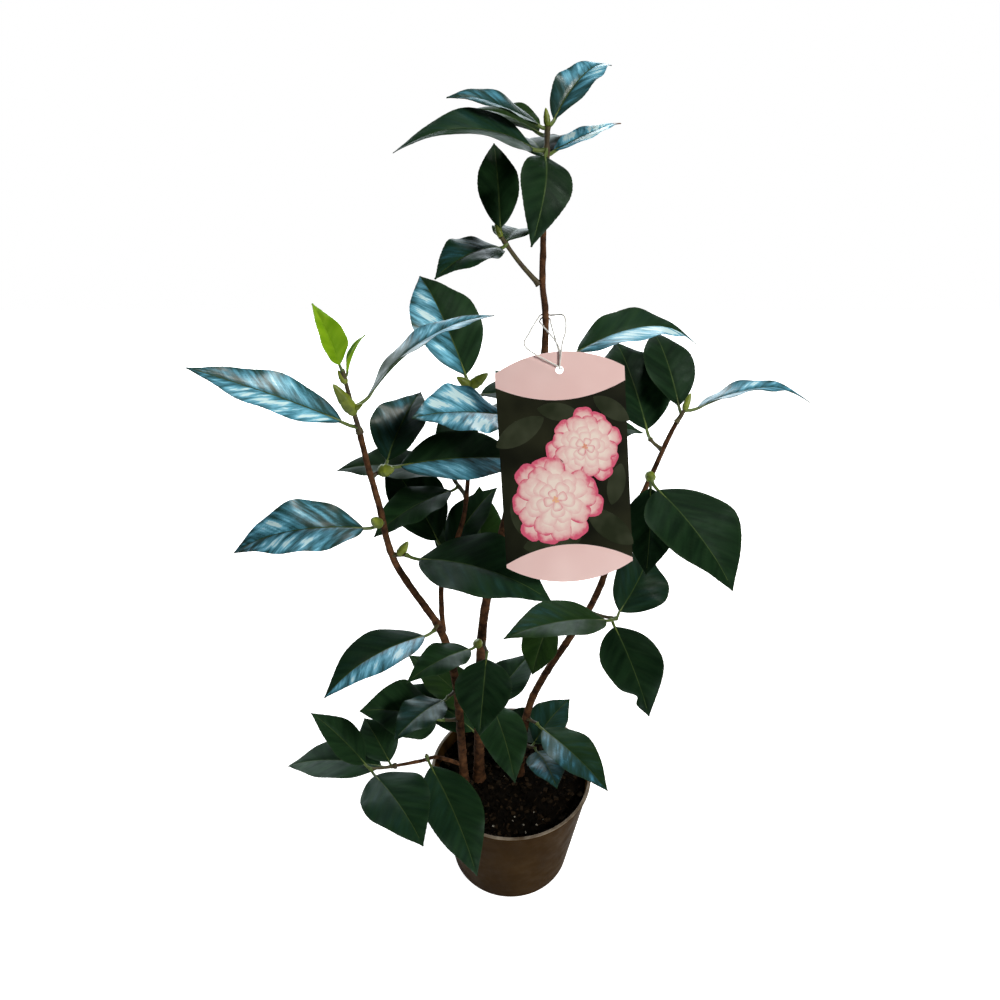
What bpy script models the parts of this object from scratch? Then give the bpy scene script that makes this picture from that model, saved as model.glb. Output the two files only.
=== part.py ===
"""Young camellia shrub in its nursery pot.

Three stems rise from the compost. Boughs grow on from them, and each mass of foliage is a shoot of
its own: a stem, its leaf stalks, its blades and its buds, fused into one solid. A printed label hangs
from the main stem on a closed loop of string. Metres, +Z up, origin at the centre of the pot's
flat underside, +X to the right and +Y to the back.
"""
import math
import random
from dataclasses import dataclass, replace

import bmesh
import bpy
from mathutils import Matrix, Vector

# Pot and compost
POT_TOP_RADIUS = 0.070
POT_BASE_RADIUS = 0.053
POT_HEIGHT = 0.112
POT_WALL = 0.0015
POT_FLOOR = 0.0020
RIM_LIP = 0.0012
RIM_HEIGHT = 0.004
SOIL_TOP = 0.101
ROUND_SIDES = 40

# Gaps and roundness
GAP = 0.0003
LIMB_SIDES = 7
SHOOT_SIDES = 6
STALK_SIDES = 4
LIMB_STEP = 0.020

# Leaves
BLADE_THICKNESS = 0.0012
STALK_RADIUS = 0.0011
STALK_SHARE = 0.10
STALK_SUNK = 0.10
BLADE_STATIONS = (0.0, 0.10, 0.26, 0.46, 0.68, 0.87, 1.0)
TIP_HALF_WIDTH = 0.0005
HOOK_START = 0.60
LEAF_CLEARANCE = 0.0048

# Label and its string
LABEL_WIDTH = 0.078
LABEL_HEIGHT = 0.141
LABEL_RISE = 0.011
LABEL_THICKNESS = 0.0008
LABEL_LEAN = 28.0
LABEL_TWIST = 3.5
LABEL_TOP = Vector((0.0255, -0.0140, 0.5200))
HOLE_RADIUS = 0.0024
HOLE_DROP = 0.011
STRING_RADIUS = 0.0005
STRING_STANDOFF = 0.0014
TIE_HEIGHT = 0.533
TIE_TURNS = (-150, 180, 140, 100, 60, 20, -20)
TIE_SLANT = 0.0012
TIE_FRONT_RISE = 0.003
TIE_BACK_RISE = 0.001
TIE_BACK_REACH = 0.004
PUNCH_REACH = 0.004


@dataclass(frozen=True)
class Limb:
    """One stem or bough: a tapering tube along a smooth line through a few points."""
    name: str
    points: tuple
    root_radius: float
    tip_radius: float
    grows_from: str = ""


@dataclass(frozen=True)
class Leaf:
    """One leaf: where it sits on its shoot (0 root, 1 tip), the way it points, and its size.

    The arch and the hook of the tip are shares of its length. Roll and twist are degrees about
    the midrib, at the foot and added by the tip.
    """
    at: float
    heading: float
    rise: float
    length: float
    width: float
    roll: float = 0.0
    arch: float = 0.07
    fold: float = 0.16
    twist: float = 0.0
    hook: float = 0.0


@dataclass(frozen=True)
class Bud:
    """One scaled bud beside a leaf stalk or at a shoot's tip."""
    at: float
    heading: float
    rise: float
    length: float
    width: float


@dataclass(frozen=True)
class Shoot:
    """One mass of foliage: a short stem that springs from a limb, with its leaves and buds.

    height is where it springs from the limb's side; None puts it on the limb's tip. spares is the
    number of further leaves that the seeded rule adds round the shoot. solver is the Boolean solver
    that fuses its pieces without slivers.
    """
    name: str
    limb: str
    height: float
    heading: float
    rise: float
    length: float
    radius: float
    leaves: tuple = ()
    buds: tuple = ()
    spares: int = 0
    seed: int = 1
    solver: str = "EXACT"


LIMBS = (
    Limb("main_stem", ((-0.028, 0.0, SOIL_TOP + GAP), (-0.027, 0.0, 0.170), (-0.025, 0.0, 0.246),
                       (-0.019, 0.002, 0.312), (0.002, 0.004, 0.420), (0.018, 0.001, 0.513),
                       (0.0155, 0.0, 0.556), (0.015, 0.0, 0.602)), 0.0046, 0.0016),
    Limb("left_stem", ((-0.041, -0.003, SOIL_TOP + GAP), (-0.042, -0.008, 0.165),
                       (-0.044, -0.012, 0.230), (-0.051, -0.017, 0.285), (-0.057, -0.020, 0.307)),
         0.0036, 0.0029),
    Limb("right_stem", ((0.008, 0.004, SOIL_TOP + GAP), (0.010, 0.002, 0.150), (0.014, 0.0, 0.190),
                        (0.026, 0.0, 0.229), (0.060, 0.006, 0.299), (0.070, 0.010, 0.335)),
         0.0034, 0.0024),
    Limb("left_bough", ((-0.057, -0.020, 0.307), (-0.082, -0.024, 0.365), (-0.089, -0.026, 0.415),
                        (-0.094, -0.028, 0.452), (-0.096, -0.030, 0.474)), 0.0027, 0.0018,
         "left_stem"),
    Limb("inner_bough", ((-0.051, -0.014, 0.284), (-0.053, 0.003, 0.322), (-0.036, 0.015, 0.374),
                         (-0.030, 0.020, 0.437), (-0.028, 0.021, 0.466)), 0.0020, 0.0013,
         "left_stem"),
    Limb("right_bough", ((0.070, 0.010, 0.335), (0.083, 0.013, 0.372), (0.095, 0.016, 0.407),
                         (0.105, 0.018, 0.440), (0.110, 0.020, 0.452)), 0.0023, 0.0015,
         "right_stem"),
    Limb("low_bough", ((-0.042, -0.005, 0.124), (-0.063, -0.012, 0.143), (-0.076, -0.020, 0.148),
                       (-0.096, -0.028, 0.152)), 0.0018, 0.0013, "left_stem"),
    Limb("back_bough", ((-0.016, 0.003, 0.325), (-0.006, 0.024, 0.345), (0.012, 0.050, 0.372),
                        (0.022, 0.066, 0.392)), 0.0020, 0.0013, "main_stem"),
)

SHOOTS = (
    Shoot("top_shoot", "main_stem", None, 60, 88, 0.042, 0.0015, leaves=(
        Leaf(1.00, 57, 18, 0.073, 0.024, arch=0.10, hook=0.03),
        Leaf(0.98, -170, 22, 0.056, 0.030, roll=-4, arch=0.03, hook=0.08),
        Leaf(0.72, -154, 9, 0.086, 0.036, roll=-32, arch=0.14, twist=44, hook=0.08),
        Leaf(0.90, 137, 2, 0.065, 0.032),
        Leaf(0.74, -98, -25, 0.073, 0.028, roll=-20, arch=0.12),
        Leaf(0.66, 44, 7, 0.062, 0.017, arch=0.02),
        Leaf(0.60, 98, -6, 0.070, 0.036),
    ), buds=(Bud(1.0, 120, 75, 0.009, 0.004),)),
    Shoot("upper_side_shoot", "main_stem", 0.553, 180, 52, 0.034, 0.0013, leaves=(
        Leaf(1.00, 95, 40, 0.062, 0.024),
        Leaf(0.90, 75, -10, 0.045, 0.026),
        Leaf(0.85, -122, 3, 0.070, 0.028, roll=-12, arch=0.07),
    ), buds=(Bud(1.0, 150, 60, 0.008, 0.004),)),
    Shoot("upper_right_shoot", "main_stem", 0.505, 16, 16, 0.012, 0.0012, leaves=(
        Leaf(0.9, 17, 2, 0.092, 0.042, arch=0.11, hook=0.08),
    )),
    Shoot("upper_left_shoot", "main_stem", 0.467, -149, 15, 0.012, 0.0012, leaves=(
        Leaf(0.9, -149, 16, 0.074, 0.046, roll=-14, arch=0.05),
    )),
    Shoot("left_tip_shoot", "left_bough", None, 160, 80, 0.040, 0.0014, leaves=(
        Leaf(1.00, -168, 74, 0.045, 0.016, roll=-60, fold=0.6),
        Leaf(0.90, 10, 62, 0.030, 0.007, fold=0.5),
        Leaf(0.06, 178, 21, 0.106, 0.034, roll=-12, arch=0.03, hook=-0.02),
        Leaf(0.40, 36, 18, 0.110, 0.034, roll=-38, arch=0.10, twist=42),
    ), buds=(Bud(0.3, 200, 64, 0.024, 0.009), Bud(0.8, 160, 60, 0.009, 0.005),
             Bud(0.35, -30, 40, 0.010, 0.004))),
    Shoot("left_upper_shoot", "left_bough", 0.438, 30, 25, 0.010, 0.0012, leaves=(
        Leaf(0.9, 12, -5, 0.096, 0.046, roll=11),
        Leaf(0.7, 70, 22, 0.066, 0.038, fold=0.35),
    ), buds=(Bud(0.4, -20, 20, 0.011, 0.009),)),
    Shoot("left_side_shoot", "left_bough", 0.401, -112, 14, 0.005, 0.0012, leaves=(
        Leaf(0.9, -162, 3, 0.092, 0.048, roll=-8, arch=0.07, hook=0.04),
    ), buds=(Bud(0.3, -110, 50, 0.014, 0.008),)),
    Shoot("left_lower_shoot", "left_bough", 0.372, -26, 20, 0.010, 0.0012, leaves=(
        Leaf(0.9, -27, 2, 0.108, 0.056, roll=6, arch=0.08),
    ), buds=(Bud(0.3, 20, 55, 0.012, 0.007),)),
    Shoot("left_stem_shoot", "left_stem", 0.303, -98, 12, 0.005, 0.0012, leaves=(
        Leaf(0.9, -140, -1, 0.093, 0.038, arch=0.09, hook=0.04),
    )),
    Shoot("inner_tip_shoot", "inner_bough", None, 110, 75, 0.010, 0.0012, leaves=(
        Leaf(1.0, 116, 30, 0.096, 0.048),
        Leaf(0.5, 20, -16, 0.070, 0.034),
    ), buds=(Bud(1.0, 190, 40, 0.012, 0.007), Bud(1.0, 0, 40, 0.015, 0.008)), solver="MANIFOLD"),
    Shoot("inner_low_shoot", "inner_bough", 0.330, 95, 50, 0.012, 0.0012, leaves=(
        Leaf(1.0, 140, 46, 0.082, 0.050),
        Leaf(0.4, 40, 40, 0.066, 0.034),
    )),
    Shoot("stem_low_shoot", "main_stem", 0.268, -110, 20, 0.010, 0.0012, leaves=(
        Leaf(0.9, -128, 18, 0.078, 0.027, roll=-10),
    ), buds=(Bud(0.6, -60, 60, 0.009, 0.008),)),
    Shoot("stem_front_shoot", "main_stem", 0.268, -75, 10, 0.014, 0.0012, leaves=(
        Leaf(0.9, -94, -14, 0.068, 0.042, arch=0.05),
    )),
    Shoot("stem_middle_shoot", "main_stem", 0.312, 110, 35, 0.012, 0.0012, leaves=(
        Leaf(1.0, 92, 50, 0.066, 0.034),
        Leaf(0.6, 135, 25, 0.066, 0.036),
    )),
    Shoot("left_knee_shoot", "left_stem", 0.224, -125, 15, 0.008, 0.0012, leaves=(
        Leaf(0.9, -124, 12, 0.066, 0.032),
    )),
    Shoot("left_foot_shoot", "left_stem", 0.187, -155, 25, 0.010, 0.0012, leaves=(
        Leaf(1.0, -162, 28, 0.074, 0.052, roll=-14),
    )),
    Shoot("stem_foot_shoot", "main_stem", 0.218, -62, 10, 0.012, 0.0012, leaves=(
        Leaf(1.0, -74, -12, 0.074, 0.036),
    )),
    Shoot("low_tip_shoot", "low_bough", None, -164, 10, 0.020, 0.0012, leaves=(
        Leaf(0.1, 168, -14, 0.098, 0.044),
        Leaf(1.0, 160, 46, 0.068, 0.032),
        Leaf(1.0, -56, 2, 0.086, 0.054),
        Leaf(0.1, 125, 20, 0.048, 0.034),
    )),
    Shoot("low_front_shoot", "low_bough", 0.146, -84, 64, 0.014, 0.0012, leaves=(
        Leaf(0.9, -64, -17, 0.103, 0.046, arch=0.05),
    )),
    Shoot("right_foot_shoot", "right_stem", 0.178, -50, 20, 0.010, 0.0012, leaves=(
        Leaf(0.9, -52, 1, 0.084, 0.037, arch=0.05),
    )),
    Shoot("right_low_shoot", "right_stem", 0.142, -40, 25, 0.010, 0.0012, leaves=(
        Leaf(1.0, -72, 12, 0.052, 0.032),
        Leaf(0.5, 42, 30, 0.052, 0.036),
    )),
    Shoot("right_bend_shoot", "right_stem", 0.284, 176, 10, 0.022, 0.0012, leaves=(
        Leaf(0.9, -120, -50, 0.048, 0.030),
    )),
    Shoot("right_fork_shoot", "right_stem", 0.292, -36, 16, 0.022, 0.0013, leaves=(
        Leaf(1.0, -152, 14, 0.098, 0.042),
        Leaf(0.8, -74, -18, 0.080, 0.046, arch=0.05),
        Leaf(1.0, 60, 20, 0.064, 0.046, roll=34, fold=0.5),
    ), solver="MANIFOLD"),
    Shoot("right_side_shoot", "right_bough", 0.410, -100, 15, 0.008, 0.0012, leaves=(
        Leaf(0.9, -65, -12, 0.100, 0.063, arch=0.05),
        Leaf(0.5, -96, -48, 0.066, 0.036),
    ), buds=(Bud(0.3, -120, 50, 0.011, 0.008),)),
    Shoot("right_upper_shoot", "right_bough", 0.430, 140, 25, 0.010, 0.0012, leaves=(
        Leaf(0.9, 103, 25, 0.088, 0.054),
    )),
    Shoot("right_tip_shoot", "right_bough", None, 30, 55, 0.008, 0.0012, leaves=(
        Leaf(1.0, 10, 6, 0.088, 0.030, roll=-26, arch=0.07, twist=18, hook=0.11),
        Leaf(0.6, 98, 18, 0.082, 0.035),
    ), buds=(Bud(1.0, 50, 60, 0.012, 0.005),)),
    Shoot("back_tip_shoot", "back_bough", None, 70, 40, 0.040, 0.0013, spares=6, seed=11),
    Shoot("back_left_shoot", "inner_bough", 0.392, 118, 10, 0.030, 0.0013, spares=4, seed=8),
    Shoot("back_foot_shoot", "main_stem", 0.125, 85, 30, 0.040, 0.0013, spares=5, seed=5),
)

# Size of the leaves that the seeded rule adds, and how far it may turn each one
SPARE_LENGTH = (0.068, 0.090)
SPARE_SLIMNESS = (0.44, 0.52)
SPARE_RISE = (-14.0, 26.0)
SPARE_FAN = (12.0, 85.0)


def clear_scene():
    """Remove every object that the file opened with."""
    for thing in list(bpy.data.objects):
        bpy.data.objects.remove(thing, do_unlink=True)


def plain_material(name, colour, roughness):
    """Return a Principled material of one colour."""
    material = bpy.data.materials.new(name)
    material.use_nodes = True
    material.diffuse_color = (*colour, 1.0)
    shader = material.node_tree.nodes["Principled BSDF"]
    shader.inputs["Base Color"].default_value = (*colour, 1.0)
    shader.inputs["Roughness"].default_value = roughness
    shader.inputs["Metallic"].default_value = 0.0
    return material


def object_from(mesh_maker, name, material):
    """Return a linked object of a bmesh, shaded smooth with its sharp edges kept."""
    bmesh.ops.recalc_face_normals(mesh_maker, faces=mesh_maker.faces)
    mesh = bpy.data.meshes.new(name)
    mesh_maker.to_mesh(mesh)
    mesh_maker.free()
    mesh.materials.append(material)
    mesh.shade_smooth()
    mesh.set_sharp_from_angle(angle=math.radians(50))
    thing = bpy.data.objects.new(name, mesh)
    bpy.context.scene.collection.objects.link(thing)
    return thing


def direction(heading, rise):
    """Return the unit vector at a heading from +X towards +Y and a rise above the level."""
    turn = math.radians(heading)
    lift = math.radians(rise)
    return Vector((math.cos(turn) * math.cos(lift), math.sin(turn) * math.cos(lift), math.sin(lift)))


def smooth_line(points, step):
    """Return points about a step apart on a Catmull-Rom curve through the given ones."""
    knots = [Vector(p) for p in points]
    knots = [2 * knots[0] - knots[1], *knots, 2 * knots[-1] - knots[-2]]
    line = []
    for a, b, c, d in zip(knots, knots[1:], knots[2:], knots[3:]):
        count = max(1, round((c - b).length / step))
        for i in range(count):
            t = i / count
            line.append(0.5 * (2 * b + (c - a) * t + (2 * a - 5 * b + 4 * c - d) * t * t
                               + (3 * b - a - 3 * c + d) * t ** 3))
    line.append(knots[-2])
    return line


def cross_frame(along):
    """Return two unit vectors square to a direction and to each other."""
    helper = Vector((0, 1, 0)) if abs(along.y) < 0.8 else Vector((1, 0, 0))
    side = along.cross(helper).normalized()
    return side, along.cross(side).normalized()


def tube(line, radii, sides):
    """Return a closed tube's bmesh along a line, with flat ends."""
    bm = bmesh.new()
    rings = []
    for i, centre in enumerate(line):
        before = line[max(i - 1, 0)]
        after = line[min(i + 1, len(line) - 1)]
        side, other = cross_frame((after - before).normalized())
        ring = []
        for k in range(sides):
            turn = math.tau * k / sides
            ring.append(bm.verts.new(centre + radii[i] * (math.cos(turn) * side + math.sin(turn) * other)))
        rings.append(ring)
    for low, high in zip(rings, rings[1:]):
        for k in range(sides):
            bm.faces.new((low[k], low[(k + 1) % sides], high[(k + 1) % sides], high[k]))
    bm.faces.new(rings[0])
    bm.faces.new(rings[-1])
    return bm


def taper(count, start, end):
    """Return radii that change evenly from start to end."""
    return [start + (end - start) * i / max(count - 1, 1) for i in range(count)]


def turned(profile, sides):
    """Return the bmesh of an outline of (radius, height) points turned about Z."""
    bm = bmesh.new()
    rings = []
    for radius, height in profile:
        if radius == 0.0:
            rings.append([bm.verts.new((0, 0, height))])
            continue
        ring = []
        for k in range(sides):
            turn = math.tau * k / sides
            ring.append(bm.verts.new((radius * math.cos(turn), radius * math.sin(turn), height)))
        rings.append(ring)
    for low, high in zip(rings, rings[1:]):
        for k in range(sides):
            nxt = (k + 1) % sides
            corners = [low[k % len(low)], low[nxt % len(low)], high[nxt % len(high)], high[k % len(high)]]
            bm.faces.new(list(dict.fromkeys(corners)))
    return bm


def build_pot(material):
    """Return the tapered pot with its floor and its rolled lip."""
    inner_base = POT_BASE_RADIUS - POT_WALL
    inner_top = POT_TOP_RADIUS - RIM_LIP - POT_WALL
    profile = (
        (0.0, 0.0), (POT_BASE_RADIUS, 0.0),
        (POT_TOP_RADIUS - RIM_LIP, POT_HEIGHT - RIM_HEIGHT),
        (POT_TOP_RADIUS, POT_HEIGHT - RIM_HEIGHT * 0.8),
        (POT_TOP_RADIUS, POT_HEIGHT - RIM_HEIGHT * 0.2),
        (POT_TOP_RADIUS - RIM_LIP * 0.5, POT_HEIGHT),
        (inner_top, POT_HEIGHT),
        (inner_base, POT_FLOOR), (0.0, POT_FLOOR),
    )
    return object_from(turned(profile, ROUND_SIDES), "pot", material)


def pot_inside_radius(height):
    """Return the pot's inner radius at a height."""
    inner_base = POT_BASE_RADIUS - POT_WALL
    inner_top = POT_TOP_RADIUS - RIM_LIP - POT_WALL
    share = (height - POT_FLOOR) / (POT_HEIGHT - POT_FLOOR)
    return inner_base + (inner_top - inner_base) * share


def build_compost(material):
    """Return the root ball that fills the pot up to its level top."""
    foot = POT_FLOOR + GAP
    profile = (
        (0.0, foot), (pot_inside_radius(foot) - GAP, foot),
        (pot_inside_radius(SOIL_TOP) - GAP, SOIL_TOP), (0.0, SOIL_TOP),
    )
    return object_from(turned(profile, ROUND_SIDES), "compost", material)


class Path:
    """A limb's centre line with its radius, to find places on it."""

    def __init__(self, line, root_radius, tip_radius):
        self.line = line
        self.radii = taper(len(line), root_radius, tip_radius)

    def place(self, height):
        """Return the point, direction and radius at a height, or at the tip for None."""
        if height is None:
            along = (self.line[-1] - self.line[-2]).normalized()
            return self.line[-1], along, self.radii[-1]
        for i, (low, high) in enumerate(zip(self.line, self.line[1:])):
            if low.z <= height <= high.z:
                share = (height - low.z) / (high.z - low.z)
                radius = self.radii[i] + (self.radii[i + 1] - self.radii[i]) * share
                return low.lerp(high, share), (high - low).normalized(), radius
        raise ValueError(f"no limb at height {height}")


def clear_start(path, height, heading_vector, radius):
    """Return where a tube that leaves a limb starts, so that it stays a gap clear of it."""
    point, along, limb_radius = path.place(height)
    cosine = abs(along.dot(heading_vector))
    sine = math.sqrt(max(1.0 - cosine * cosine, 0.04))
    if height is None:
        return point + heading_vector * ((GAP + radius * sine) / max(cosine, 0.2))
    return point + heading_vector * ((limb_radius + GAP + radius * cosine) / sine)


def limb_path(limb, paths):
    """Return a limb's path, moved off the limb that it grows from."""
    line = smooth_line(limb.points, LIMB_STEP)
    if limb.grows_from:
        parent = paths[limb.grows_from]
        onward = (line[1] - line[0]).normalized()
        at_tip = (line[0] - parent.line[-1]).length < 0.004
        start = clear_start(parent, None if at_tip else line[0].z, onward, limb.root_radius)
        line[0] = start
        if (line[1] - start).dot(onward) < LIMB_STEP * 0.4:
            del line[1]
    return Path(line, limb.root_radius, limb.tip_radius)


def half_width(share, width):
    """Return a blade's half width at a share of its length: full below the middle, drawn-out tip."""
    body = math.sin(math.pi * share ** 0.86) ** 0.82 if 0.0 < share < 1.0 else 0.0
    return 0.5 * width * body * (1.0 - 0.45 * share ** 5)


def leaf_axes(leaf):
    """Return a leaf's length, side and upper-face directions."""
    along = direction(leaf.heading, leaf.rise)
    side = Vector((0, 0, 1)).cross(along).normalized()
    turn = Matrix.Rotation(math.radians(leaf.roll), 3, along)
    side = turn @ side
    return along, side, along.cross(side).normalized()


def blade_point(leaf, node, share, across):
    """Return a point on a blade's middle surface; across runs from -1 to 1 over its width."""
    along, side, upper = leaf_axes(leaf)
    blade = leaf.length * (1.0 - STALK_SHARE)
    root = node + along * (leaf.length * STALK_SHARE)
    half = max(half_width(share, leaf.width), TIP_HALF_WIDTH)
    lift = leaf.arch * blade * 4.0 * share * (1.0 - share)
    lift -= leaf.hook * blade * max(0.0, (share - HOOK_START) / (1.0 - HOOK_START)) ** 2
    raised = leaf.fold * abs(across) * half * math.sin(math.pi * min(share * 1.1, 1.0)) ** 0.5
    turn = math.radians(leaf.twist) * share
    wide = across * half * math.cos(turn) - raised * math.sin(turn)
    high = across * half * math.sin(turn) + raised * math.cos(turn)
    return root + along * (blade * share) + side * wide + upper * (high + lift)


def blade_mesh(leaf, node):
    """Return a closed thin blade's bmesh, folded along its midrib."""
    bm = bmesh.new()
    upper = leaf_axes(leaf)[2] * (BLADE_THICKNESS / 2)
    rows = []
    for share in BLADE_STATIONS:
        points = [blade_point(leaf, node, share, across) for across in (-1, 0, 1)]
        tops = [bm.verts.new(p + upper) for p in points]
        unders = [bm.verts.new(p - upper) for p in reversed(points)]
        rows.append(tops + unders)
    for low, high in zip(rows, rows[1:]):
        for k in range(6):
            bm.faces.new((low[k], low[(k + 1) % 6], high[(k + 1) % 6], high[k]))
    for row in (rows[0], rows[-1]):
        bm.faces.new((row[0], row[1], row[4], row[5]))
        bm.faces.new((row[1], row[2], row[3], row[4]))
    return bm


def stalk_mesh(leaf, node):
    """Return the leaf stalk's bmesh, from inside the shoot to well inside the blade."""
    end = blade_point(leaf, node, STALK_SUNK, 0)
    neck = blade_point(leaf, node, 0.02, 0)
    return tube([node, neck, end], [STALK_RADIUS * 1.1, STALK_RADIUS, STALK_RADIUS * 0.8], STALK_SIDES)


def bud_mesh(bud, node):
    """Return a pointed egg-shaped bud's bmesh, its foot inside the shoot."""
    along = direction(bud.heading, bud.rise)
    shares = (0.0, 0.18, 0.45, 0.75, 1.0)
    girths = (0.45, 0.85, 1.0, 0.62, 0.10)
    line = [node + along * (bud.length * share) for share in shares]
    return tube(line, [bud.width / 2 * girth for girth in girths], SHOOT_SIDES)


def shoot_line(shoot, paths):
    """Return a shoot's stem line, curving a little upwards from its limb."""
    onward = direction(shoot.heading, shoot.rise)
    start = clear_start(paths[shoot.limb], shoot.height, onward, shoot.radius)
    lift = Vector((0, 0, 0.10 * shoot.length))
    end = start + onward * shoot.length
    return [start, start.lerp(end, 0.5) - lift * 0.4, end]


def along_line(line, share):
    """Return the point at a share of a line's length."""
    lengths = [(b - a).length for a, b in zip(line, line[1:])]
    left = share * sum(lengths)
    for a, b, length in zip(line, line[1:], lengths):
        if left <= length:
            return a.lerp(b, left / length)
        left -= length
    return line[-1]


def leaf_samples(leaf, node):
    """Return points all over a blade, to measure its distance from others."""
    places = [(i / 10, across) for i in range(11) for across in (-1, -0.5, 0, 0.5, 1)]
    return [blade_point(leaf, node, share, across) for share, across in places]


def is_clear(samples, taken):
    """Return whether samples keep their distance from every point that is taken."""
    limit = LEAF_CLEARANCE ** 2
    return all((a - b).length_squared > limit for a in samples for b in taken)


def spare_leaves(shoot):
    """Yield the leaves of the seeded rule, to the left and right of the shoot by turns."""
    rule = random.Random(shoot.seed)
    for k in range(shoot.spares):
        length = rule.uniform(*SPARE_LENGTH)
        yield Leaf(
            at=0.35 + 0.65 * k / max(shoot.spares - 1, 1),
            heading=shoot.heading + (-1) ** k * rule.uniform(*SPARE_FAN),
            rise=rule.uniform(*SPARE_RISE),
            length=length,
            width=length * rule.uniform(*SPARE_SLIMNESS),
        )


def grow_leaves(shoot, line, taken):
    """Return a shoot's leaves: its own, then those of the rule that stay clear."""
    grown = list(shoot.leaves)
    for leaf in grown:
        taken.extend(leaf_samples(leaf, along_line(line, leaf.at)))
    for leaf in spare_leaves(shoot):
        for turn in (0, 18, -18, 36, -36):
            trial = replace(leaf, heading=leaf.heading + turn)
            samples = leaf_samples(trial, along_line(line, trial.at))
            outer = samples[15:]
            if is_clear(outer, taken):
                taken.extend(samples)
                grown.append(trial)
                break
    return grown


def fuse(name, pieces, material, solver):
    """Return one solid from overlapping pieces, by one Boolean union on their collection."""
    first, others = pieces[0], pieces[1:]
    first.name = name
    if others:
        group = bpy.data.collections.new(name + "_pieces")
        bpy.context.scene.collection.children.link(group)
        for piece in others:
            bpy.context.scene.collection.objects.unlink(piece)
            group.objects.link(piece)
        union = first.modifiers.new("union", "BOOLEAN")
        union.operation = "UNION"
        union.solver = solver
        union.operand_type = "COLLECTION"
        union.collection = group
        graph = bpy.context.evaluated_depsgraph_get()
        fused = bpy.data.meshes.new_from_object(first.evaluated_get(graph))
        first.modifiers.clear()
        first.data = fused
        for piece in others:
            bpy.data.objects.remove(piece, do_unlink=True)
        bpy.data.collections.remove(group)
    first.data.name = name
    first.data.materials.clear()
    first.data.materials.append(material)
    return first


def build_shoot(shoot, paths, taken, material):
    """Return one mass of foliage, fused into one solid."""
    line = shoot_line(shoot, paths)
    pieces = [object_from(tube(line, taper(3, shoot.radius, shoot.radius * 0.8), SHOOT_SIDES),
                          shoot.name, material)]
    for leaf in grow_leaves(shoot, line, taken):
        node = along_line(line, leaf.at)
        pieces.append(object_from(stalk_mesh(leaf, node), shoot.name + "_stalk", material))
        pieces.append(object_from(blade_mesh(leaf, node), shoot.name + "_blade", material))
    for bud in shoot.buds:
        pieces.append(object_from(bud_mesh(bud, along_line(line, bud.at)), shoot.name + "_bud", material))
    return fuse(shoot.name, pieces, material, shoot.solver)


def label_frame():
    """Return the label's across, up and outward directions."""
    lean = math.radians(LABEL_LEAN)
    outward = Vector((0, -math.cos(lean), math.sin(lean)))
    up = Vector((0, math.sin(lean), math.cos(lean)))
    twist = Matrix.Rotation(math.radians(LABEL_TWIST), 3, outward)
    up = twist @ up
    return up.cross(outward).normalized(), up, outward


def hole_centre():
    """Return the centre of the label's hole."""
    return LABEL_TOP - label_frame()[1] * HOLE_DROP


def build_label(material):
    """Return the thin label, its ends curved, with the hole for its string."""
    across, up, outward = label_frame()
    half = LABEL_WIDTH / 2
    radius = (half ** 2 + LABEL_RISE ** 2) / (2 * LABEL_RISE)
    reach = math.asin(half / radius)
    outline = []
    for i in range(13):
        turn = -reach + 2 * reach * i / 12
        outline.append((radius * math.sin(turn), radius * (math.cos(turn) - 1)))
    outline += [(x, -LABEL_HEIGHT - y) for x, y in reversed(outline)]
    bm = bmesh.new()
    skin = outward * (LABEL_THICKNESS / 2)
    middles = [LABEL_TOP + across * x + up * y for x, y in outline]
    front = [bm.verts.new(middle + skin) for middle in middles]
    back = [bm.verts.new(middle - skin) for middle in middles]
    bm.faces.new(front)
    bm.faces.new(list(reversed(back)))
    for i in range(len(outline)):
        j = (i + 1) % len(outline)
        bm.faces.new((front[i], back[i], back[j], front[j]))
    label = object_from(bm, "label", material)
    middle = hole_centre()
    punch_line = [middle - outward * PUNCH_REACH, middle + outward * PUNCH_REACH]
    punch = object_from(tube(punch_line, [HOLE_RADIUS, HOLE_RADIUS], 16), "hole_punch", material)
    cut = label.modifiers.new("hole", "BOOLEAN")
    cut.operation = "DIFFERENCE"
    cut.object = punch
    punch.hide_render = True
    punch.display_type = "WIRE"
    return label


def build_tie(path, material):
    """Return the closed loop of string through the label's hole and round the main stem."""
    _, up, outward = label_frame()
    crossing = hole_centre() + up * (HOLE_RADIUS - STRING_RADIUS - GAP)
    stem, _, stem_radius = path.place(TIE_HEIGHT)
    loop = stem_radius + STRING_RADIUS + 3 * GAP
    points = [crossing - outward * STRING_STANDOFF, crossing, crossing + outward * STRING_STANDOFF,
              LABEL_TOP + up * TIE_FRONT_RISE + outward * STRING_STANDOFF]
    for turn in TIE_TURNS:
        angle = math.radians(turn)
        x, y = loop * math.cos(angle), loop * math.sin(angle)
        points.append(stem + Vector((x, y, TIE_SLANT * math.sin(angle))))
    points.append(LABEL_TOP + up * TIE_BACK_RISE - outward * TIE_BACK_REACH)
    curve = bpy.data.curves.new("tie", "CURVE")
    curve.dimensions = "3D"
    curve.bevel_depth = STRING_RADIUS
    curve.bevel_resolution = 1
    spline = curve.splines.new("POLY")
    spline.points.add(len(points) - 1)
    for slot, point in zip(spline.points, points):
        slot.co = (*point, 1.0)
    spline.use_cyclic_u = True
    curve.materials.append(material)
    thing = bpy.data.objects.new("tie", curve)
    bpy.context.scene.collection.objects.link(thing)
    return thing


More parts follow.
